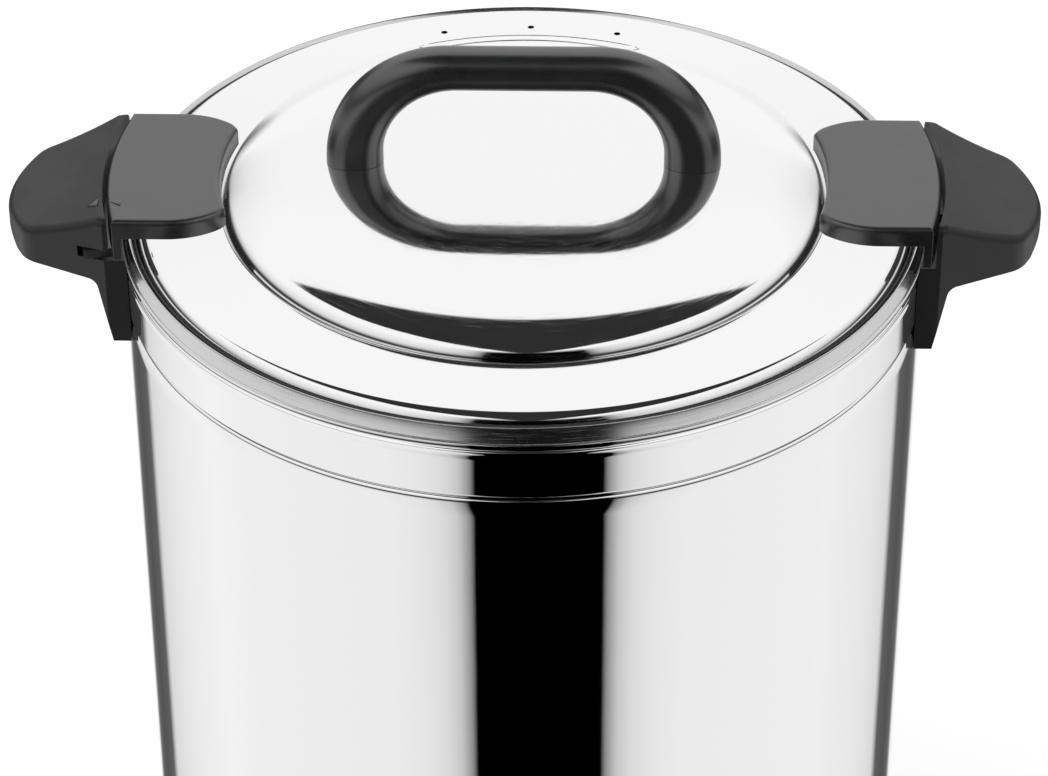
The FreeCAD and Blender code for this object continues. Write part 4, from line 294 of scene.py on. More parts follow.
def arc(start, end, radius, turn, steps):
    """Points of a circular arc after start, up to end. The turn is 1 to the left and -1 to the right."""
    (x0, y0), (x1, y1) = start, end
    half = math.hypot(x1 - x0, y1 - y0) / 2
    off = turn * math.sqrt(max(radius * radius - half * half, 0)) / (2 * half)
    centre = ((x0 + x1) / 2 - off * (y1 - y0), (y0 + y1) / 2 + off * (x1 - x0))
    first = math.atan2(y0 - centre[1], x0 - centre[0])
    swept = math.atan2(y1 - centre[1], x1 - centre[0]) - first
    swept = (swept + math.pi) % (2 * math.pi) - math.pi
    return [(centre[0] + radius * math.cos(first + swept * step / steps),
             centre[1] + radius * math.sin(first + swept * step / steps))
            for step in range(1, steps + 1)]


def sloped(start, first, last, end, steps):
    """Points after start up to end, along a curve that falls at one angle at first and another at last."""
    (x0, y0), (x1, y1) = start, end
    weights = [math.tan(math.radians(first + (last - first) * (step + 0.5) / steps))
               for step in range(steps)]
    total = sum(weights)
    return [(x0 + (x1 - x0) * (step + 1) / steps,
             y0 + (y1 - y0) * sum(weights[:step + 1]) / total) for step in range(steps)]


def in_metres(points):
    """Profile points in millimetres from the lid's plane, as metres above the floor."""
    return [(radius * MM, LID_PLANE + height * MM) for radius, height in points]


# The dome: its flat crown, the slope and shoulder round it, and the edge that drops to the ring.
CROWN, SHOULDER, CORNER, DOME_FOOT = (50, 15), (84, 13.2), (105.6, 6.35), (109.3, 1.08)
DOME = [(0, 15)] + [(radius, 15) for radius in (10, 20, 30, 40)] + [CROWN]
DOME += arc(CROWN, SHOULDER, 325, -1, 12) + arc(SHOULDER, CORNER, 56, -1, 24)
DOME += arc(CORNER, DOME_FOOT, 8.6, -1, 14)


# The steam vents stand on a ring behind the dome, in degrees from each other.
VENT_RING, VENT_SPACING = 122.5, 15.8
# The ring round the dome falls gently outwards from the dome's foot to the lid's slope.
RING_START, RING_LENGTH, RING_HEIGHT, RING_FALL, RING_STEPS = 110.8, 25, 0.83, 0.82, 8


def dome_height(radius):
    """The height of the dome's surface above the lid's plane."""
    for (r0, h0), (r1, h1) in zip(DOME, DOME[1:]):
        if r0 <= radius <= r1:
            return h0 + (h1 - h0) * (radius - r0) / (r1 - r0)
    raise ValueError("the dome doesn't reach %s" % radius)


class UrnLook(PropertyGroup):
    """Sizes and colours that a user would change."""
    sheet: FloatProperty(name="Sheet", description="Thickness of the steel sheet", default=0.8 * MM,
                         unit="LENGTH")
    steps: IntProperty(name="Steps", description="Facets round a turned shell", default=384, min=32)
    vent: FloatProperty(name="Vent", description="Diameter of a steam vent in the lid",
                        default=2.5 * MM, unit="LENGTH")
    bead: FloatProperty(name="Bead", description="Width of the bead pressed into the dome",
                        default=1.1 * MM, unit="LENGTH")
    steel_colour: FloatVectorProperty(name="Steel", description="Colour of the polished steel",
                                      default=linear("#F6F6F6"), size=4, min=0, max=1,
                                      subtype="COLOR")
    plastic_colour: FloatVectorProperty(name="Grips", description="Colour of the handles and grips",
                                        default=linear("#0D0E0F"), size=4, min=0, max=1,
                                        subtype="COLOR")
    switch_colour: FloatVectorProperty(name="Switch", description="Colour of the rocker and button",
                                       default=linear("#A01A14"), size=4, min=0, max=1,
                                       subtype="COLOR")


class URN_OT_finishes(Operator):
    """Make the finishes and dress the frame's own pieces"""
    bl_idname = "urn.finishes"
    bl_label = "Finishes"

    def execute(self, context):
        make_materials(context.scene.urn_look)
        dress_frame()
        return {"FINISHED"}


class URN_OT_lid_shell(Operator):
    """Spin the domed lid with its flat ring and turned-down edge, and pierce its steam vents"""
    bl_idname = "urn.lid_shell"
    bl_label = "Lid"

    def execute(self, context):
        look = context.scene.urn_look
        wall = look.sheet / MM
        outside = list(DOME)
        outside += arc(DOME_FOOT, (109.8, 0.88), 0.5, 1, 4) + [(RING_START, 0.84)]
        outside += [(RING_START + step * RING_LENGTH / RING_STEPS,
                     RING_HEIGHT - step * RING_FALL / RING_STEPS) for step in range(1, RING_STEPS + 1)]
        outside += [(136, 0), (136.1, -0.03)]
        outside += sloped((136.1, -0.03), 18, 42, (138.0, -1.1), 8)
        outside += sloped((138.0, -1.1), 44, 66, (139.75, -3.75), 10)
        outside += [(139.9, -4.2), (140.0, -4.8), (140.02, -5.4)]
        inside = [(max(radius - wall * 0.6, 0), height - wall) for radius, height in outside[:-1]]
        inside.append((140.02 - wall, -5.4))
        inside[0] = (0, inside[0][1])
        work = turned(in_metres(outside + inside[::-1]), look.steps)
        lid = finish_piece(work, "lid_shell_shape", "lid_steel", "lid", ["lid_shell"])
        tools = bmesh.new()
        for degrees in (-VENT_SPACING, 0, VENT_SPACING):
            turn = math.radians(degrees)
            spot = AXIS + Vector((VENT_RING * MM * math.sin(turn), VENT_RING * MM * math.cos(turn),
                                  LID_PLANE))
            bmesh.ops.create_cone(tools, cap_ends=True, segments=32, radius1=look.vent / 2,
                                  radius2=look.vent / 2, depth=8 * MM,
                                  matrix=Matrix.Translation(spot))
        pierce(lid, tools)
        make_bead(look)
        return {"FINISHED"}


def pierce(piece, tools):
    """Cut the shapes in a bmesh out of a piece."""
    mesh = bpy.data.meshes.new("tools")
    tools.to_mesh(mesh)
    tools.free()
    cutter = bpy.data.objects.new("tools", mesh)
    bpy.context.scene.collection.objects.link(cutter)
    cut = piece.modifiers.new("holes", "BOOLEAN")
    cut.operation, cut.solver, cut.object = "DIFFERENCE", "FAST", cutter
    bpy.context.view_layer.update()
    result = bpy.data.meshes.new_from_object(piece.evaluated_get(bpy.context.evaluated_depsgraph_get()))
    piece.modifiers.clear()
    piece.data = result
    bpy.data.objects.remove(cutter)
    result.shade_smooth()
    result.set_sharp_from_angle(angle=math.radians(SHARP))


def make_bead(look):
    """The plain bead pressed round a long plate on the dome's far shoulder."""
    near, far, half = 92.6, 104.6, 21
    middle, reach = (near + far) / 2, (far - near) / 2
    line = []
    for step in range(25):
        line.append((far, half - 2 * half * step / 24))
    for step in range(1, 12):
        swing = math.pi * step / 12
        line.append((middle + reach * math.cos(swing),
                     -half - math.degrees(reach * math.sin(swing) / middle)))
    for step in range(25):
        line.append((near, -half + 2 * half * step / 24))
    for step in range(1, 12):
        swing = math.pi * step / 12
        line.append((middle - reach * math.cos(swing),
                     half + math.degrees(reach * math.sin(swing) / middle)))
    curve = bpy.data.curves.new("dome_bead", "CURVE")
    curve.dimensions = "3D"
    curve.bevel_depth = look.bead / 2
    curve.bevel_resolution = 3
    path = curve.splines.new("NURBS")
    path.points.add(len(line) - 1)
    for point, (radius, degrees) in zip(path.points, line):
        turn = math.radians(degrees)
        height = dome_height(radius) * MM - look.bead * 0.18
        point.co = (AXIS.x + radius * MM * math.sin(turn), AXIS.y + radius * MM * math.cos(turn),
                    LID_PLANE + height, 1)
    path.use_cyclic_u = True
    path.order_u = 3
    curve.materials.append(MATERIALS["lid_steel"])
    bead = bpy.data.objects.new("dome_bead", curve)
    bpy.context.scene.collection.objects.link(bead)
    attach(bead, "lid")


class URN_OT_rim(Operator):
    """Spin the tank with the rolled rim that the lid sits in"""
    bl_idname = "urn.rim"
    bl_label = "Tank and rim"

    def execute(self, context):
        look = context.scene.urn_look
        wall = look.sheet / MM
        tank, floor = 132, 104 - LID_PLANE / MM
        inside = [(0, floor + wall), (60, floor + wall), (120, floor + wall)]
        inside += arc(inside[-1], (tank - wall, floor + 12), 12 - wall, 1, 10)
        inside += [(tank - wall, floor + 100), (tank - wall, -60), (tank - wall, -7.2)]
        inside += arc(inside[-1], (132.2, -6.6), 0.6, -1, 3)
        inside += [(140.7, -6.6)] + arc((140.7, -6.6), (141.3, -6.0), 0.6, 1, 3) + [(141.3, -3.5)]
        inside += sloped((141.3, -3.5), 50, 42, (142.7, -2.0), 6)
        inside += arc((142.7, -2.0), (143.05, -2.08), 0.22, -1, 5)
        inside += sloped((143.05, -2.08), 68, 74, (144.6, -7.1), 10)
        inside += [(144.7, -7.16), (145.36, -7.28), (145.42, -7.45)]
        outside = [(145.3, -7.85), (144.9, -8.0), (144.2, -7.9), (144.0, -6.0), (143.6, -4.2),
                   (142.9, -3.0), (142.2, -3.6), (142.1, -7.4), (132, -7.4)]
        outside += [(132, floor + 12)] + arc((132, floor + 12), (120, floor), 12, -1, 10) + [(0, floor)]
        work = turned(in_metres(inside + outside), look.steps)
        finish_piece(work, "inner_tank_shape", "tank_steel", "urn", ["inner_tank"])
        return {"FINISHED"}


class URN_OT_casing(Operator):
    """Spin the casing with its rounded band and the groove under it"""
    bl_idname = "urn.casing"
    bl_label = "Casing"

    def execute(self, context):
        look = context.scene.urn_look
        wall = look.sheet / MM
        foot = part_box("outer_casing")[0].z / MM - LID_PLANE / MM
        outside = [(143.4, -6.2), (143.4, -8.4), (143.6, -9.2), (143.9, -10.0), (144.1, -10.45)]
        outside += [(144.3, -10.62), (144.75, -10.95), (144.88, -11.2), (144.87, -11.6)]
        outside += [(144.70, -12.1), (144.67, -12.5), (144.74, -12.95), (144.88, -13.4), (145, -13.8)]
        outside += [(145, -14.2), (145, -20), (145, -28.4), (145, -28.7), (144.85, -29.05)]
        outside += [(144.5, -29.35), (143.3, -30.25), (143.0, -30.5), (142.95, -30.7), (143.1, -30.85)]
        outside += sloped((143.1, -30.85), 25, 55, (144.1, -31.7), 6)
        outside += sloped((144.1, -31.7), 58, 86, (145, -36.4), 10)
        outside += [(145, -37.6), (145, -60), (145, -200), (145, foot)]
        inside = [(radius - wall, height) for radius, height in outside]
        work = turned(in_metres(outside + inside[::-1]), look.steps)
        finish_piece(work, "outer_casing_shape", "casing_steel", "urn", ["outer_casing"])
        return {"FINISHED"}


class URN_OT_marks(Operator):
    """Raise the small arrow marks beside the left lock"""
    bl_idname = "urn.marks"
    bl_label = "Lock marks"

    def execute(self, context):
        for name, node, body, corners in (
                ("wing_mark", "lid_wing_left", "lid", ((-145.9, -25.0), (-142.0, -23.2), (-142.3, -27.4))),
                ("grip_mark", "side_handle_left", "urn",
                 ((-154.6, -24.6), (-150.6, -22.4), (-150.6, -26.6)))):
            work = bmesh.new()
            points = []
            for x, y in corners:
                start = AXIS + Vector((x * MM, y * MM, LID_PLANE + 30 * MM))
                hit, place = frame["nodes"][node].ray_cast(start, (0, 0, -1))[:2]
                if not hit:
                    raise RuntimeError("no surface under the mark %s" % name)
                points.append(work.verts.new(place - Vector((0, 0, 0.2 * MM))))
            face = work.faces.new(points)
            raised = bmesh.ops.extrude_face_region(work, geom=[face])
            top = [item for item in raised["geom"] if isinstance(item, bmesh.types.BMVert)]
            bmesh.ops.translate(work, vec=(0, 0, 0.55 * MM), verts=top)
            bmesh.ops.recalc_face_normals(work, faces=work.faces)
            bmesh.ops.bevel(work, geom=list(work.edges), offset=0.12 * MM, affect="EDGES", segments=2,
                            profile=0.5, material=-1)
            finish_piece(work, name, "black_plastic", body)
        return {"FINISHED"}


def around(centre, toward):
    """The placing of a piece drawn flat, X to the right and Y up, that faces along a direction."""
    turn = Vector(toward).to_track_quat("Z", "Y").to_matrix().to_4x4()
    return Matrix.Translation(centre) @ turn


def add_bar(work, width, height, place, turned_by=0.0):
    """Draw a flat bar in a bmesh, in millimetres, at a place and turned anticlockwise by degrees."""
    matrix = Matrix.Translation((place[0] * MM, place[1] * MM, 0)) @ Matrix.Rotation(
        math.radians(turned_by), 4, "Z") @ Matrix.Diagonal((width * MM, height * MM, 1, 1))
    bmesh.ops.create_grid(work, x_segments=2, y_segments=2, size=0.5, matrix=matrix)


def add_text(work, text, size, place, turned_by=0.0):
    """Draw numbers or a sign flat in a bmesh, centred on a place in millimetres."""
    curve = bpy.data.curves.new("figures", "FONT")
    curve.body, curve.size = text, size * MM
    curve.align_x, curve.align_y = "CENTER", "CENTER"
    holder = bpy.data.objects.new("figures", curve)
    bpy.context.scene.collection.objects.link(holder)
    bpy.context.view_layer.update()
    flat = bpy.data.meshes.new_from_object(holder)
    flat.transform(Matrix.Translation((place[0] * MM, place[1] * MM, 0)) @ Matrix.Rotation(
        math.radians(turned_by), 4, "Z"))
    work.from_mesh(flat)
    bpy.data.objects.remove(holder)


def raised_print(work, name, slot, body, under, matrix, thickness):
    """Lay a flat drawing on the front of an object, and give it the thickness of thick paint."""
    bmesh.ops.remove_doubles(work, verts=work.verts, dist=0.001 * MM)
    bmesh.ops.transform(work, matrix=matrix, verts=work.verts)
    inward = -(matrix.to_3x3() @ Vector((0, 0, 1)))
    for corner in work.verts:
        hit, place = under.ray_cast(corner.co - inward * 30 * MM, inward)[:2]
        if not hit:
            raise RuntimeError("no surface under %s" % name)
        corner.co = place + inward * thickness * MM
    raised = bmesh.ops.extrude_face_region(work, geom=list(work.faces))
    top = [item for item in raised["geom"] if isinstance(item, bmesh.types.BMVert)]
    bmesh.ops.translate(work, vec=-inward * 2 * thickness * MM, verts=top)
    bmesh.ops.recalc_face_normals(work, faces=work.faces)
    return finish_piece(work, name, slot, body)


class URN_OT_knob(Operator):
    """Turn the fluted thermostat knob with its grip bar, and print its figures and the panel's mark"""
    bl_idname = "urn.knob"
    bl_label = "Thermostat knob"

    def execute(self, context):
        low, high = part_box("thermostat_knob")
        centre = Vector(((low.x + high.x) / 2, high.y, (low.z + high.z) / 2))
        facing = around(centre, FORWARD)
        # Heights run from the panel: the shaft's bore, the skirt with its figures, the fluted wall.
        profile = [(0, 12.4), (3.05, 12.4), (3.05, 0), (18.3, 0), (18.8, 0.3), (19, 0.9), (19, 2.7)]
        profile += arc((19, 2.7), (17.9, 3.8), 1.1, 1, 5) + [(16.6, 4.0), (16.1, 4.3), (15.9, 5)]
        profile += [(15.8, 6.2), (15.7, 8), (15.6, 10), (15.5, 12), (15.3, 14)]
        profile += arc((15.3, 14), (12.8, 16.9), 2.8, 1, 6) + [(11.5, 16.6), (10.5, 16.2), (0, 16.2)]
        work = turned([(radius * MM, height * MM) for radius, height in profile], 192, centre, FORWARD)
        flutes, deep, wall, foot, top = 24, 0.75, 13, 4.6, 16
        for corner in work.verts:
            across = corner.co - centre
            height, across.y = -across.y / MM, 0
            if across.length > wall * MM and foot < height < top:
                turn = math.atan2(across.z, across.x)
                fade = min(1, (height - foot) / 1.6, (top - height) / 2)
                depth = deep * fade * max(0, math.cos(flutes * turn)) ** 2
                corner.co -= across.normalized() * depth * MM
        grip = bmesh.ops.create_cube(work, size=1, matrix=Matrix.Translation(
            centre - Vector((0, 18 * MM, 0))) @ Matrix.Diagonal((7 * MM, 4 * MM, 28 * MM, 1)))
        sides = {edge for corner in grip["verts"] for edge in corner.link_edges}
        bmesh.ops.bevel(work, geom=list(sides), offset=1.3 * MM, affect="EDGES", segments=5,
                        profile=0.5, material=-1)
        knob = finish_piece(work, "knob_shape", "black_gloss", "knob", ["thermostat_knob"])
        bpy.context.view_layer.update()
        work = bmesh.new()
        add_bar(work, 1.1, 9, (0, 8.2))
        raised_print(work, "knob_pointer", "terminal_white", "knob", knob, facing, 0.15)
        # Turned clockwise, the knob brings its figures one by one under the mark on the panel.
        work = bmesh.new()
        scale, figures_at, ticks_at, ticks = 270, 17.3, 17.6, 25
        for index, figures in enumerate(("0", "30", "50", "70", "90", "110")):
            turn = scale * index / 5
            add_text(work, figures, 2.3, (-figures_at * math.sin(math.radians(turn)),
                                          figures_at * math.cos(math.radians(turn))), turn)
        for index in range(ticks + 1):
            if index % 5:
                turn = scale * index / ticks
                add_bar(work, 0.35, 1.2, (-ticks_at * math.sin(math.radians(turn)),
                                          ticks_at * math.cos(math.radians(turn))), turn)
        raised_print(work, "knob_figures", "terminal_white", "knob", knob, facing, PAINT)
        work = bmesh.new()
        for step in range(3):
            add_bar(work, 2.4 - 0.8 * step, 0.8, (0, 22.4 - 0.8 * step))
        raised_print(work, "knob_index", "black_gloss", "urn", frame["nodes"]["control_fascia"],
                     facing, PAINT)
        return {"FINISHED"}


class URN_OT_lamps(Operator):
    """Turn the two ribbed pilot lenses with their black bezels"""
    bl_idname = "urn.lamps"
    bl_label = "Pilot lamps"

    def execute(self, context):
        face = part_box("control_fascia")[0].y
        # Heights run from the panel's face: the lamp's barrel behind it, the ribbed lens before it.
        lens = [(0, -18), (3.6, -18), (3.6, -0.2), (4.5, -0.1), (4.5, 1.5)]
        for rib in range(7):
            radius = 4.3 - 0.55 * rib
            rise = 3.55 - 1.9 * (radius / 4.5) ** 2
            lens += [(radius, rise), (radius - 0.3, rise + 0.16)]
        lens += [(0.3, 3.6), (0, 3.6)]
        ring = [(4.6, 0), (5.4, 0), (5.7, 0.3), (5.65, 0.8), (5.4, 1.15), (5.0, 1.2), (4.7, 1.0)]
        for node, slot in (("lamp_power", "lens_red"), ("lamp_ready", "lens_green")):
            low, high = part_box(node)
            centre = Vector(((low.x + high.x) / 2, face, (low.z + high.z) / 2))
            for name, profile, finish, nodes in ((node + "_lens", lens, slot, [node]),
                                                 (node + "_bezel", ring, "black_gloss", [])):
                work = turned([(radius * MM, height * MM) for radius, height in profile], 72, centre,
                              FORWARD)
                finish_piece(work, name, finish, "urn", nodes, sharp=50)
        return {"FINISHED"}


class URN_OT_switch_signs(Operator):
    """Print the on and off signs on the two ends of the rocker"""
    bl_idname = "urn.switch_signs"
    bl_label = "Switch signs"

    def execute(self, context):
        low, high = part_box("rocker_button")
        centre = Vector(((low.x + high.x) / 2, low.y, (low.z + high.z) / 2))
        sign_at, ring, bars_round = 6.2, 1.6, 24
        work = bmesh.new()
        add_bar(work, 0.6, 3.4, (0, sign_at))
        bars = bmesh.new()
        for step in range(bars_round):
            turn = 2 * math.pi * step / bars_round
            add_bar(bars, 0.55, 0.6, (ring * math.cos(turn), ring * math.sin(turn) - sign_at),
                    math.degrees(turn))
        button, facing = frame["nodes"]["rocker_button"], around(centre, FORWARD)
        raised_print(work, "rocker_on", "terminal_white", "rocker", button, facing, PAINT)
        raised_print(bars, "rocker_off", "terminal_white", "rocker", button, facing, PAINT)
        return {"FINISHED"}


class URN_OT_gauge_scale(Operator):
    """Print the level marks and litre figures beside the sight gauge's window"""
    bl_idname = "urn.gauge_scale"
    bl_label = "Gauge scale"

    def execute(self, context):
        low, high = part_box("gauge_guard")
        centre = Vector(((low.x + high.x) / 2, low.y, 0))
        foot, top = low.z + 12 * MM, high.z - 10 * MM
        lowest, highest, step = 4, 20, 4
        work = bmesh.new()
        for litres in range(lowest, highest + 1):
            height = (foot + (top - foot) * (litres - lowest) / (highest - lowest)) / MM
            wide = 2.4 if litres % step == 0 else 1.2
            add_bar(work, wide, 0.4, (8.0 - wide / 2, height))
        for litres in range(lowest, highest + 1, step):
            height = (foot + (top - foot) * (litres - lowest) / (highest - lowest)) / MM
            add_text(work, "%d" % litres, 2.2, (-6.8, height))
        raised_print(work, "gauge_scale", "black_gloss", "urn", frame["nodes"]["gauge_guard"],
                     around(centre, FORWARD), 0.06)
        return {"FINISHED"}


class URN_OT_feet(Operator):
    """Turn the four ribbed rubber feet with their screw wells"""
    bl_idname = "urn.feet"
    bl_label = "Rubber feet"

    def execute(self, context):
        low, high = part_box("rubber_feet")
        reach, radius = (high.x - low.x) / 2, 13 * MM
        profile = [(2.2, 12.75), (12.5, 12.75), (12.9, 12.3), (12.95, 11), (12.5, 10.6), (12.45, 9.9),
                   (12.75, 9.5), (12.65, 8.1), (12.2, 7.7), (12.15, 7), (12.45, 6.6), (12.3, 5.2),
                   (11.95, 4.8), (11.9, 4.1), (12.1, 3.7), (11.7, 1), (11.2, 0.3), (10.5, 0)]
        profile += [(9.2, 0), (8.9, 0.6), (8.1, 0.6), (7.8, 0), (5.6, 0), (4.9, 0.3), (4.6, 0.9),
                    (4.5, 9.75), (2.2, 9.8)]
        for name, x, y in (("foot_front_left", -1, -1), ("foot_front_right", 1, -1),
                           ("foot_back_left", -1, 1), ("foot_back_right", 1, 1)):
            centre = AXIS + Vector((x * (reach - radius), y * (reach - radius), 0))
            work = turned([(r * MM, height * MM) for r, height in profile], 72, centre)
            finish_piece(work, name, "foot_rubber", "urn", ["rubber_feet"], sharp=40)
        return {"FINISHED"}


class URN_OT_seals(Operator):
    """Turn the soft rings: the lid's seal, the tap's washers and cup, and the gauge's seal"""
    bl_idname = "urn.seals"
    bl_label = "Soft seals"

    def execute(self, context):
        lip = [(136.9, -6.5), (140.4, -6.5), (141.0, -5.8), (141.15, -5.2), (141.15, -3.15),
               (141.0, -2.88), (140.65, -2.85), (140.4, -3.1), (140.1, -4.4), (140.06, -5.42),
               (139.1, -5.44), (139.1, -4.8), (138.9, -4.6), (137.1, -4.6), (136.9, -4.8)]
        finish_piece(turned(in_metres(lip), context.scene.urn_look.steps), "lid_seal_shape", "silicone",
                     "lid", ["lid_seal"])
        for node in ("tap_outer_washer", "tap_inner_washer"):
            low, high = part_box(node)
            middle = Vector(((low.x + high.x) / 2, high.y, (low.z + high.z) / 2))
            wide = (high.x - low.x) / 2 / MM
            inner = (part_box("tap_nut")[1].z - middle.z) / MM * 0.68
            thick = (high.y - low.y) / MM - 0.05
            rounded = 0.5
            profile = [(inner, 0.02), (wide - rounded, 0.02), (wide, rounded), (wide, thick - rounded),
                       (wide - rounded, thick), (inner + rounded, thick), (inner, thick - rounded)]
            work = turned([(r * MM, height * MM) for r, height in profile], 96, middle, FORWARD)
            if node == "tap_outer_washer":
                # Its face lies against the round casing and follows it.
                shell = math.hypot(wide * MM, AXIS.y - high.y)
                for corner in work.verts:
                    curved = AXIS.y - math.sqrt(shell ** 2 - (corner.co.x - middle.x) ** 2)
                    share = max(0, 1 - (high.y - corner.co.y) / (thick * MM))
                    corner.co.y -= (high.y - curved) * share
            finish_piece(work, node + "_shape", "silicone", "urn", [node])
        low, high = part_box("tap_seat")
        middle = Vector(((low.x + high.x) / 2, (low.y + high.y) / 2, low.z))
        cup = [(0, 0.3), (2, 0.3), (2.4, 0), (6.4, 0), (6.9, 0.3), (8.15, 2.9), (8.2, 3.3), (8.2, 8.3),
               (8.0, 8.8), (7.6, 9), (2.25, 9), (2.25, 3.2), (0, 3.2)]
        work = turned([(r * MM, height * MM) for r, height in cup], 72, middle)
        finish_piece(work, "tap_seat_shape", "silicone", "tap_valve", ["tap_seat"])
        low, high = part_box("gauge_lower_seal")
        middle = Vector(((low.x + high.x) / 2, (low.y + high.y) / 2, low.z))
        ring = [(6.02, 0.3), (6.3, 0), (7.5, 0), (7.85, 0.35), (7.85, 2.2), (7.5, 2.55), (6.3, 2.55),
                (6.02, 2.3)]
        work = turned([(r * MM, height * MM) for r, height in ring], 72, middle)
        finish_piece(work, "gauge_seal_shape", "silicone", "urn", ["gauge_lower_seal"])
        return {"FINISHED"}


class URN_OT_stage(Operator):
    """Set up the pale floor, the studio that the steel mirrors, the lamp and the camera"""
    bl_idname = "urn.stage"
    bl_label = "Stage"

    def execute(self, context):
        make_floor()
        make_world()
        make_lamp()
        make_camera()
        return {"FINISHED"}


def make_floor():
    """A wide pale floor that shows the urn's shadow and stays out of the steel's mirror image."""
    work = bmesh.new()
    bmesh.ops.create_grid(work, x_segments=1, y_segments=1, size=30)
    mesh = bpy.data.meshes.new("floor")
    work.to_mesh(mesh)
    work.free()
    material, tree, shader = new_material("pale floor")[:3]
    shader.inputs["Base Color"].default_value = linear("#F2F2F2")
    shader.inputs["Roughness"].default_value = 0.9
    shader.inputs["Specular IOR Level"].default_value = 0.1
    ray = add_node(tree, "ShaderNodeLightPath")
    glow = add_node(tree, "ShaderNodeEmission", {"Strength": 0.16})
    none = add_node(tree, "ShaderNodeEmission", {"Strength": 0.0})
    seen = add_node(tree, "ShaderNodeMath", {
        0: ray.outputs["Is Camera Ray"], 1: ray.outputs["Is Transmission Ray"]}, operation="MAXIMUM")
    lit = add_node(tree, "ShaderNodeMixShader", {
        0: seen.outputs[0], 1: none.outputs[0], 2: glow.outputs[0]})
    both = add_node(tree, "ShaderNodeAddShader", {0: shader.outputs[0], 1: lit.outputs[0]})
    tree.links.new(both.outputs[0], tree.nodes["Material Output"].inputs["Surface"])
    mesh.materials.append(material)
    floor = bpy.data.objects.new("floor", mesh)
    floor.visible_glossy = False
    bpy.context.scene.collection.objects.link(floor)


# The black gap before the urn has its middle a little to one side, in degrees from the front.
GAP_MIDDLE = 5.5
# How bright the studio is, by degrees from the middle of the gap.
GAP = ((0, 0), (18.4, 0), (18.8, 0.10), (19.5, 0.25), (20.5, 0.36), (22, 0.50), (23, 0.61),
       (25, 0.68), (27, 0.75), (31, 0.82), (37, 0.87), (44, 0.90), (90, 0.92), (120, 1), (180, 1))
# By degrees round from the front, below the horizon: the soft boxes end in flags at the back.
SIDES = ((0, 1), (100, 1), (110, 0.93), (120, 0.88), (128, 0.82), (134, 0.76), (137, 0.72),
         (141, 0.12), (150, 0.09), (157, 0.13), (160, 0.33), (163, 0.9), (180, 1))
# By degrees above the horizon: a dark strip stands just over the table's far edge.
HEIGHTS = ((-90, 1), (-8, 1), (-3, 0.92), (0, 0.70), (2, 0.25), (4, 0.05), (9, 0.05), (12, 0.30),
           (16, 0.62), (22, 0.85), (30, 0.95), (36, 1), (90, 1))
# The dark ceiling lies inside planes, each a direction and how much the edge bows with x squared.
CEILING_EDGES = (((1, 0.45, 0.56), 0), ((-1, 0.405, 0.62), 0), ((0, -0.951, 0.309), 0.45))
CEILING_SOFT, CEILING_TONE = 0.012, 0.025


def set_stops(ramp, stops, place):
    """Fill a ramp with the stops of a table, each put at its place between 0 and 1."""
    while len(ramp.elements) < len(stops):
        ramp.elements.new(1.0)
    for element, (at, tone) in zip(ramp.elements, stops):
        element.position = place(at)
        element.color = (tone, tone, tone, 1)


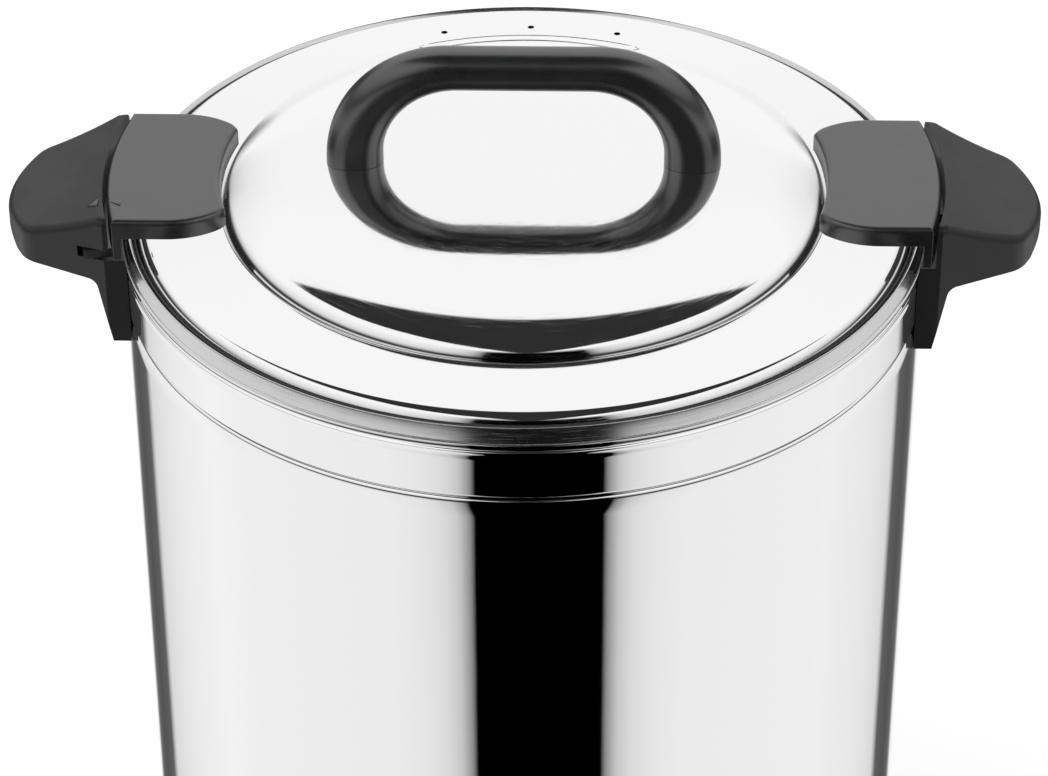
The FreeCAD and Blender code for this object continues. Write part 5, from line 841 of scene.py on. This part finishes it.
def make_world():
    """A white studio with the dark gaps between its soft boxes, which polished steel mirrors."""
    world = bpy.data.worlds.new("studio")
    bpy.context.scene.world = world
    world.use_nodes = True
    tree = world.node_tree
    tree.nodes.clear()
    way = add_node(tree, "ShaderNodeTexCoord").outputs["Generated"]
    parts = add_node(tree, "ShaderNodeSeparateXYZ", {0: way})
    x, y, z = parts.outputs
    front = add_node(tree, "ShaderNodeMath", {0: y, 1: -1.0}, operation="MULTIPLY").outputs[0]
    azimuth = add_node(tree, "ShaderNodeMath", {0: x, 1: front}, operation="ARCTAN2").outputs[0]
    turn = add_node(tree, "ShaderNodeMath", {0: azimuth, 1: math.pi}, operation="DIVIDE").outputs[0]
    aside = add_node(tree, "ShaderNodeMath", {0: turn, 1: GAP_MIDDLE / 180},
                     operation="SUBTRACT").outputs[0]
    levels = []
    for source, stops, place in (
            (add_node(tree, "ShaderNodeMath", {0: aside}, operation="ABSOLUTE").outputs[0], GAP,
             lambda degrees: degrees / 180),
            (add_node(tree, "ShaderNodeMath", {0: turn}, operation="ABSOLUTE").outputs[0], SIDES,
             lambda degrees: degrees / 180),
            (add_node(tree, "ShaderNodeMapRange", {"Value": z, "From Min": -1.0}).outputs[0], HEIGHTS,
             lambda degrees: (math.sin(math.radians(degrees)) + 1) / 2)):
        ramp = add_node(tree, "ShaderNodeValToRGB", {0: source})
        set_stops(ramp.color_ramp, stops, place)
        levels.append(ramp.outputs[0])
    heights = levels.pop()
    behind = add_node(tree, "ShaderNodeMapRange", {
        "Value": y, "From Min": 0.80, "From Max": 0.90}).outputs["Result"]
    heights = add_node(tree, "ShaderNodeMix", {
        "Factor": behind, "A": heights, "B": 1.0}, data_type="FLOAT").outputs[0]
    # The flags end a little above the horizon, and the gap closes high above the camera.
    for index, edge, soft in ((1, 0.10, 0.06), (0, 0.66, 0.05)):
        mask = add_node(tree, "ShaderNodeMapRange", {
            "Value": z, "From Min": edge - soft, "From Max": edge + soft}).outputs["Result"]
        levels[index] = add_node(tree, "ShaderNodeMix", {
            "Factor": mask, "A": levels[index], "B": 1.0}, data_type="FLOAT").outputs[0]
    # A dark ceiling over the front, cut off on the left, on the right and over the urn.
    ceiling = 1.0
    bowed = add_node(tree, "ShaderNodeMath", {0: x, 1: x}, operation="MULTIPLY").outputs[0]
    for plane, bow in CEILING_EDGES:
        over = add_node(tree, "ShaderNodeVectorMath", {0: way, 1: plane},
                        operation="DOT_PRODUCT").outputs["Value"]
        over = add_node(tree, "ShaderNodeMath", {0: bowed, 1: bow, 2: over},
                        operation="MULTIPLY_ADD").outputs[0]
        mask = add_node(tree, "ShaderNodeMapRange", {
            "Value": over, "From Min": -CEILING_SOFT, "From Max": CEILING_SOFT}).outputs["Result"]
        ceiling = add_node(tree, "ShaderNodeMath", {0: ceiling, 1: mask},
                           operation="MULTIPLY").outputs[0]
    above = add_node(tree, "ShaderNodeMapRange", {
        "Value": z, "From Min": 0.07, "From Max": 0.13}).outputs["Result"]
    ceiling = add_node(tree, "ShaderNodeMath", {0: ceiling, 1: above}, operation="MULTIPLY").outputs[0]
    level = heights
    for factor in levels:
        level = add_node(tree, "ShaderNodeMath", {0: level, 1: factor}, operation="MULTIPLY").outputs[0]
    level = add_node(tree, "ShaderNodeMix", {"Factor": ceiling, "A": level, "B": CEILING_TONE},
                     data_type="FLOAT").outputs[0]
    ray = add_node(tree, "ShaderNodeLightPath")
    shown = add_node(tree, "ShaderNodeMix", {
        "Factor": ray.outputs["Is Glossy Ray"], "A": 1.0, "B": level}, data_type="FLOAT")
    sky = add_node(tree, "ShaderNodeBackground", {
        "Color": (1, 1, 1, 1), "Strength": shown.outputs[0]})
    add_node(tree, "ShaderNodeOutputWorld", {"Surface": sky.outputs[0]})


def make_lamp():
    """One large soft lamp high on the left, for the floor's shadow and a little form."""
    light = bpy.data.lights.new("soft box", "AREA")
    light.size = 1.6
    light.energy = 6
    lamp = bpy.data.objects.new("soft box", light)
    lamp.location = (-1.1, -0.6, 2.2)
    aim = Vector((AXIS.x, AXIS.y, 0.3)) - lamp.location
    lamp.rotation_euler = aim.to_track_quat("-Z", "Y").to_euler()
    lamp.visible_glossy = False
    bpy.context.scene.collection.objects.link(lamp)


def make_camera():
    """The camera at the photograph's place, high in front of the lid."""
    camera = bpy.data.cameras.new("camera")
    camera.lens = 131.8
    camera.sensor_width = 36
    camera.sensor_fit = "HORIZONTAL"
    viewer = bpy.data.objects.new("camera", camera)
    # Millimetres from the middle of the lid's plane, found by fitting the ellipses of the rim and lid.
    place = AXIS + Vector((28.6 * MM, -1177.6 * MM, LID_PLANE + 730.7 * MM))
    target = AXIS + Vector((-0.18 * MM, 0, LID_PLANE - 84.63 * MM))
    turn = (target - place).to_track_quat("-Z", "Y").to_matrix().to_4x4()
    roll = Matrix.Rotation(math.radians(-0.2), 4, "Z")
    viewer.matrix_world = Matrix.Translation(place) @ turn @ roll
    bpy.context.scene.collection.objects.link(viewer)
    bpy.context.scene.camera = viewer
    bpy.context.scene.view_settings.view_transform = "Standard"


class URN_PT_sidebar(Panel):
    """The urn's steps in the sidebar"""
    bl_label = "Hot water urn"
    bl_idname = "URN_PT_sidebar"
    bl_space_type = "VIEW_3D"
    bl_region_type = "UI"
    bl_category = "Urn"

    def draw(self, context):
        for name in UrnLook.__annotations__:
            self.layout.prop(context.scene.urn_look, name)
        for step in STEPS:
            self.layout.operator(step.bl_idname)


STEPS = (URN_OT_finishes, URN_OT_lid_shell, URN_OT_rim, URN_OT_casing, URN_OT_marks, URN_OT_knob,
         URN_OT_lamps, URN_OT_switch_signs, URN_OT_gauge_scale, URN_OT_feet, URN_OT_seals,
         URN_OT_stage)
CLASSES = (UrnLook, *STEPS, URN_PT_sidebar)


def register():
    for kind in CLASSES:
        bpy.utils.register_class(kind)
    bpy.types.Scene.urn_look = PointerProperty(type=UrnLook)


def unregister():
    del bpy.types.Scene.urn_look
    for kind in reversed(CLASSES):
        bpy.utils.unregister_class(kind)


def main():
    """Build the urn step by step."""
    register()
    bpy.ops.urn.finishes()
    bpy.ops.urn.lid_shell()
    bpy.ops.urn.rim()
    bpy.ops.urn.casing()
    bpy.ops.urn.marks()
    bpy.ops.urn.knob()
    bpy.ops.urn.lamps()
    bpy.ops.urn.switch_signs()
    bpy.ops.urn.gauge_scale()
    bpy.ops.urn.feet()
    bpy.ops.urn.seals()
    bpy.ops.urn.stage()


if __name__ == "__main__":
    main()
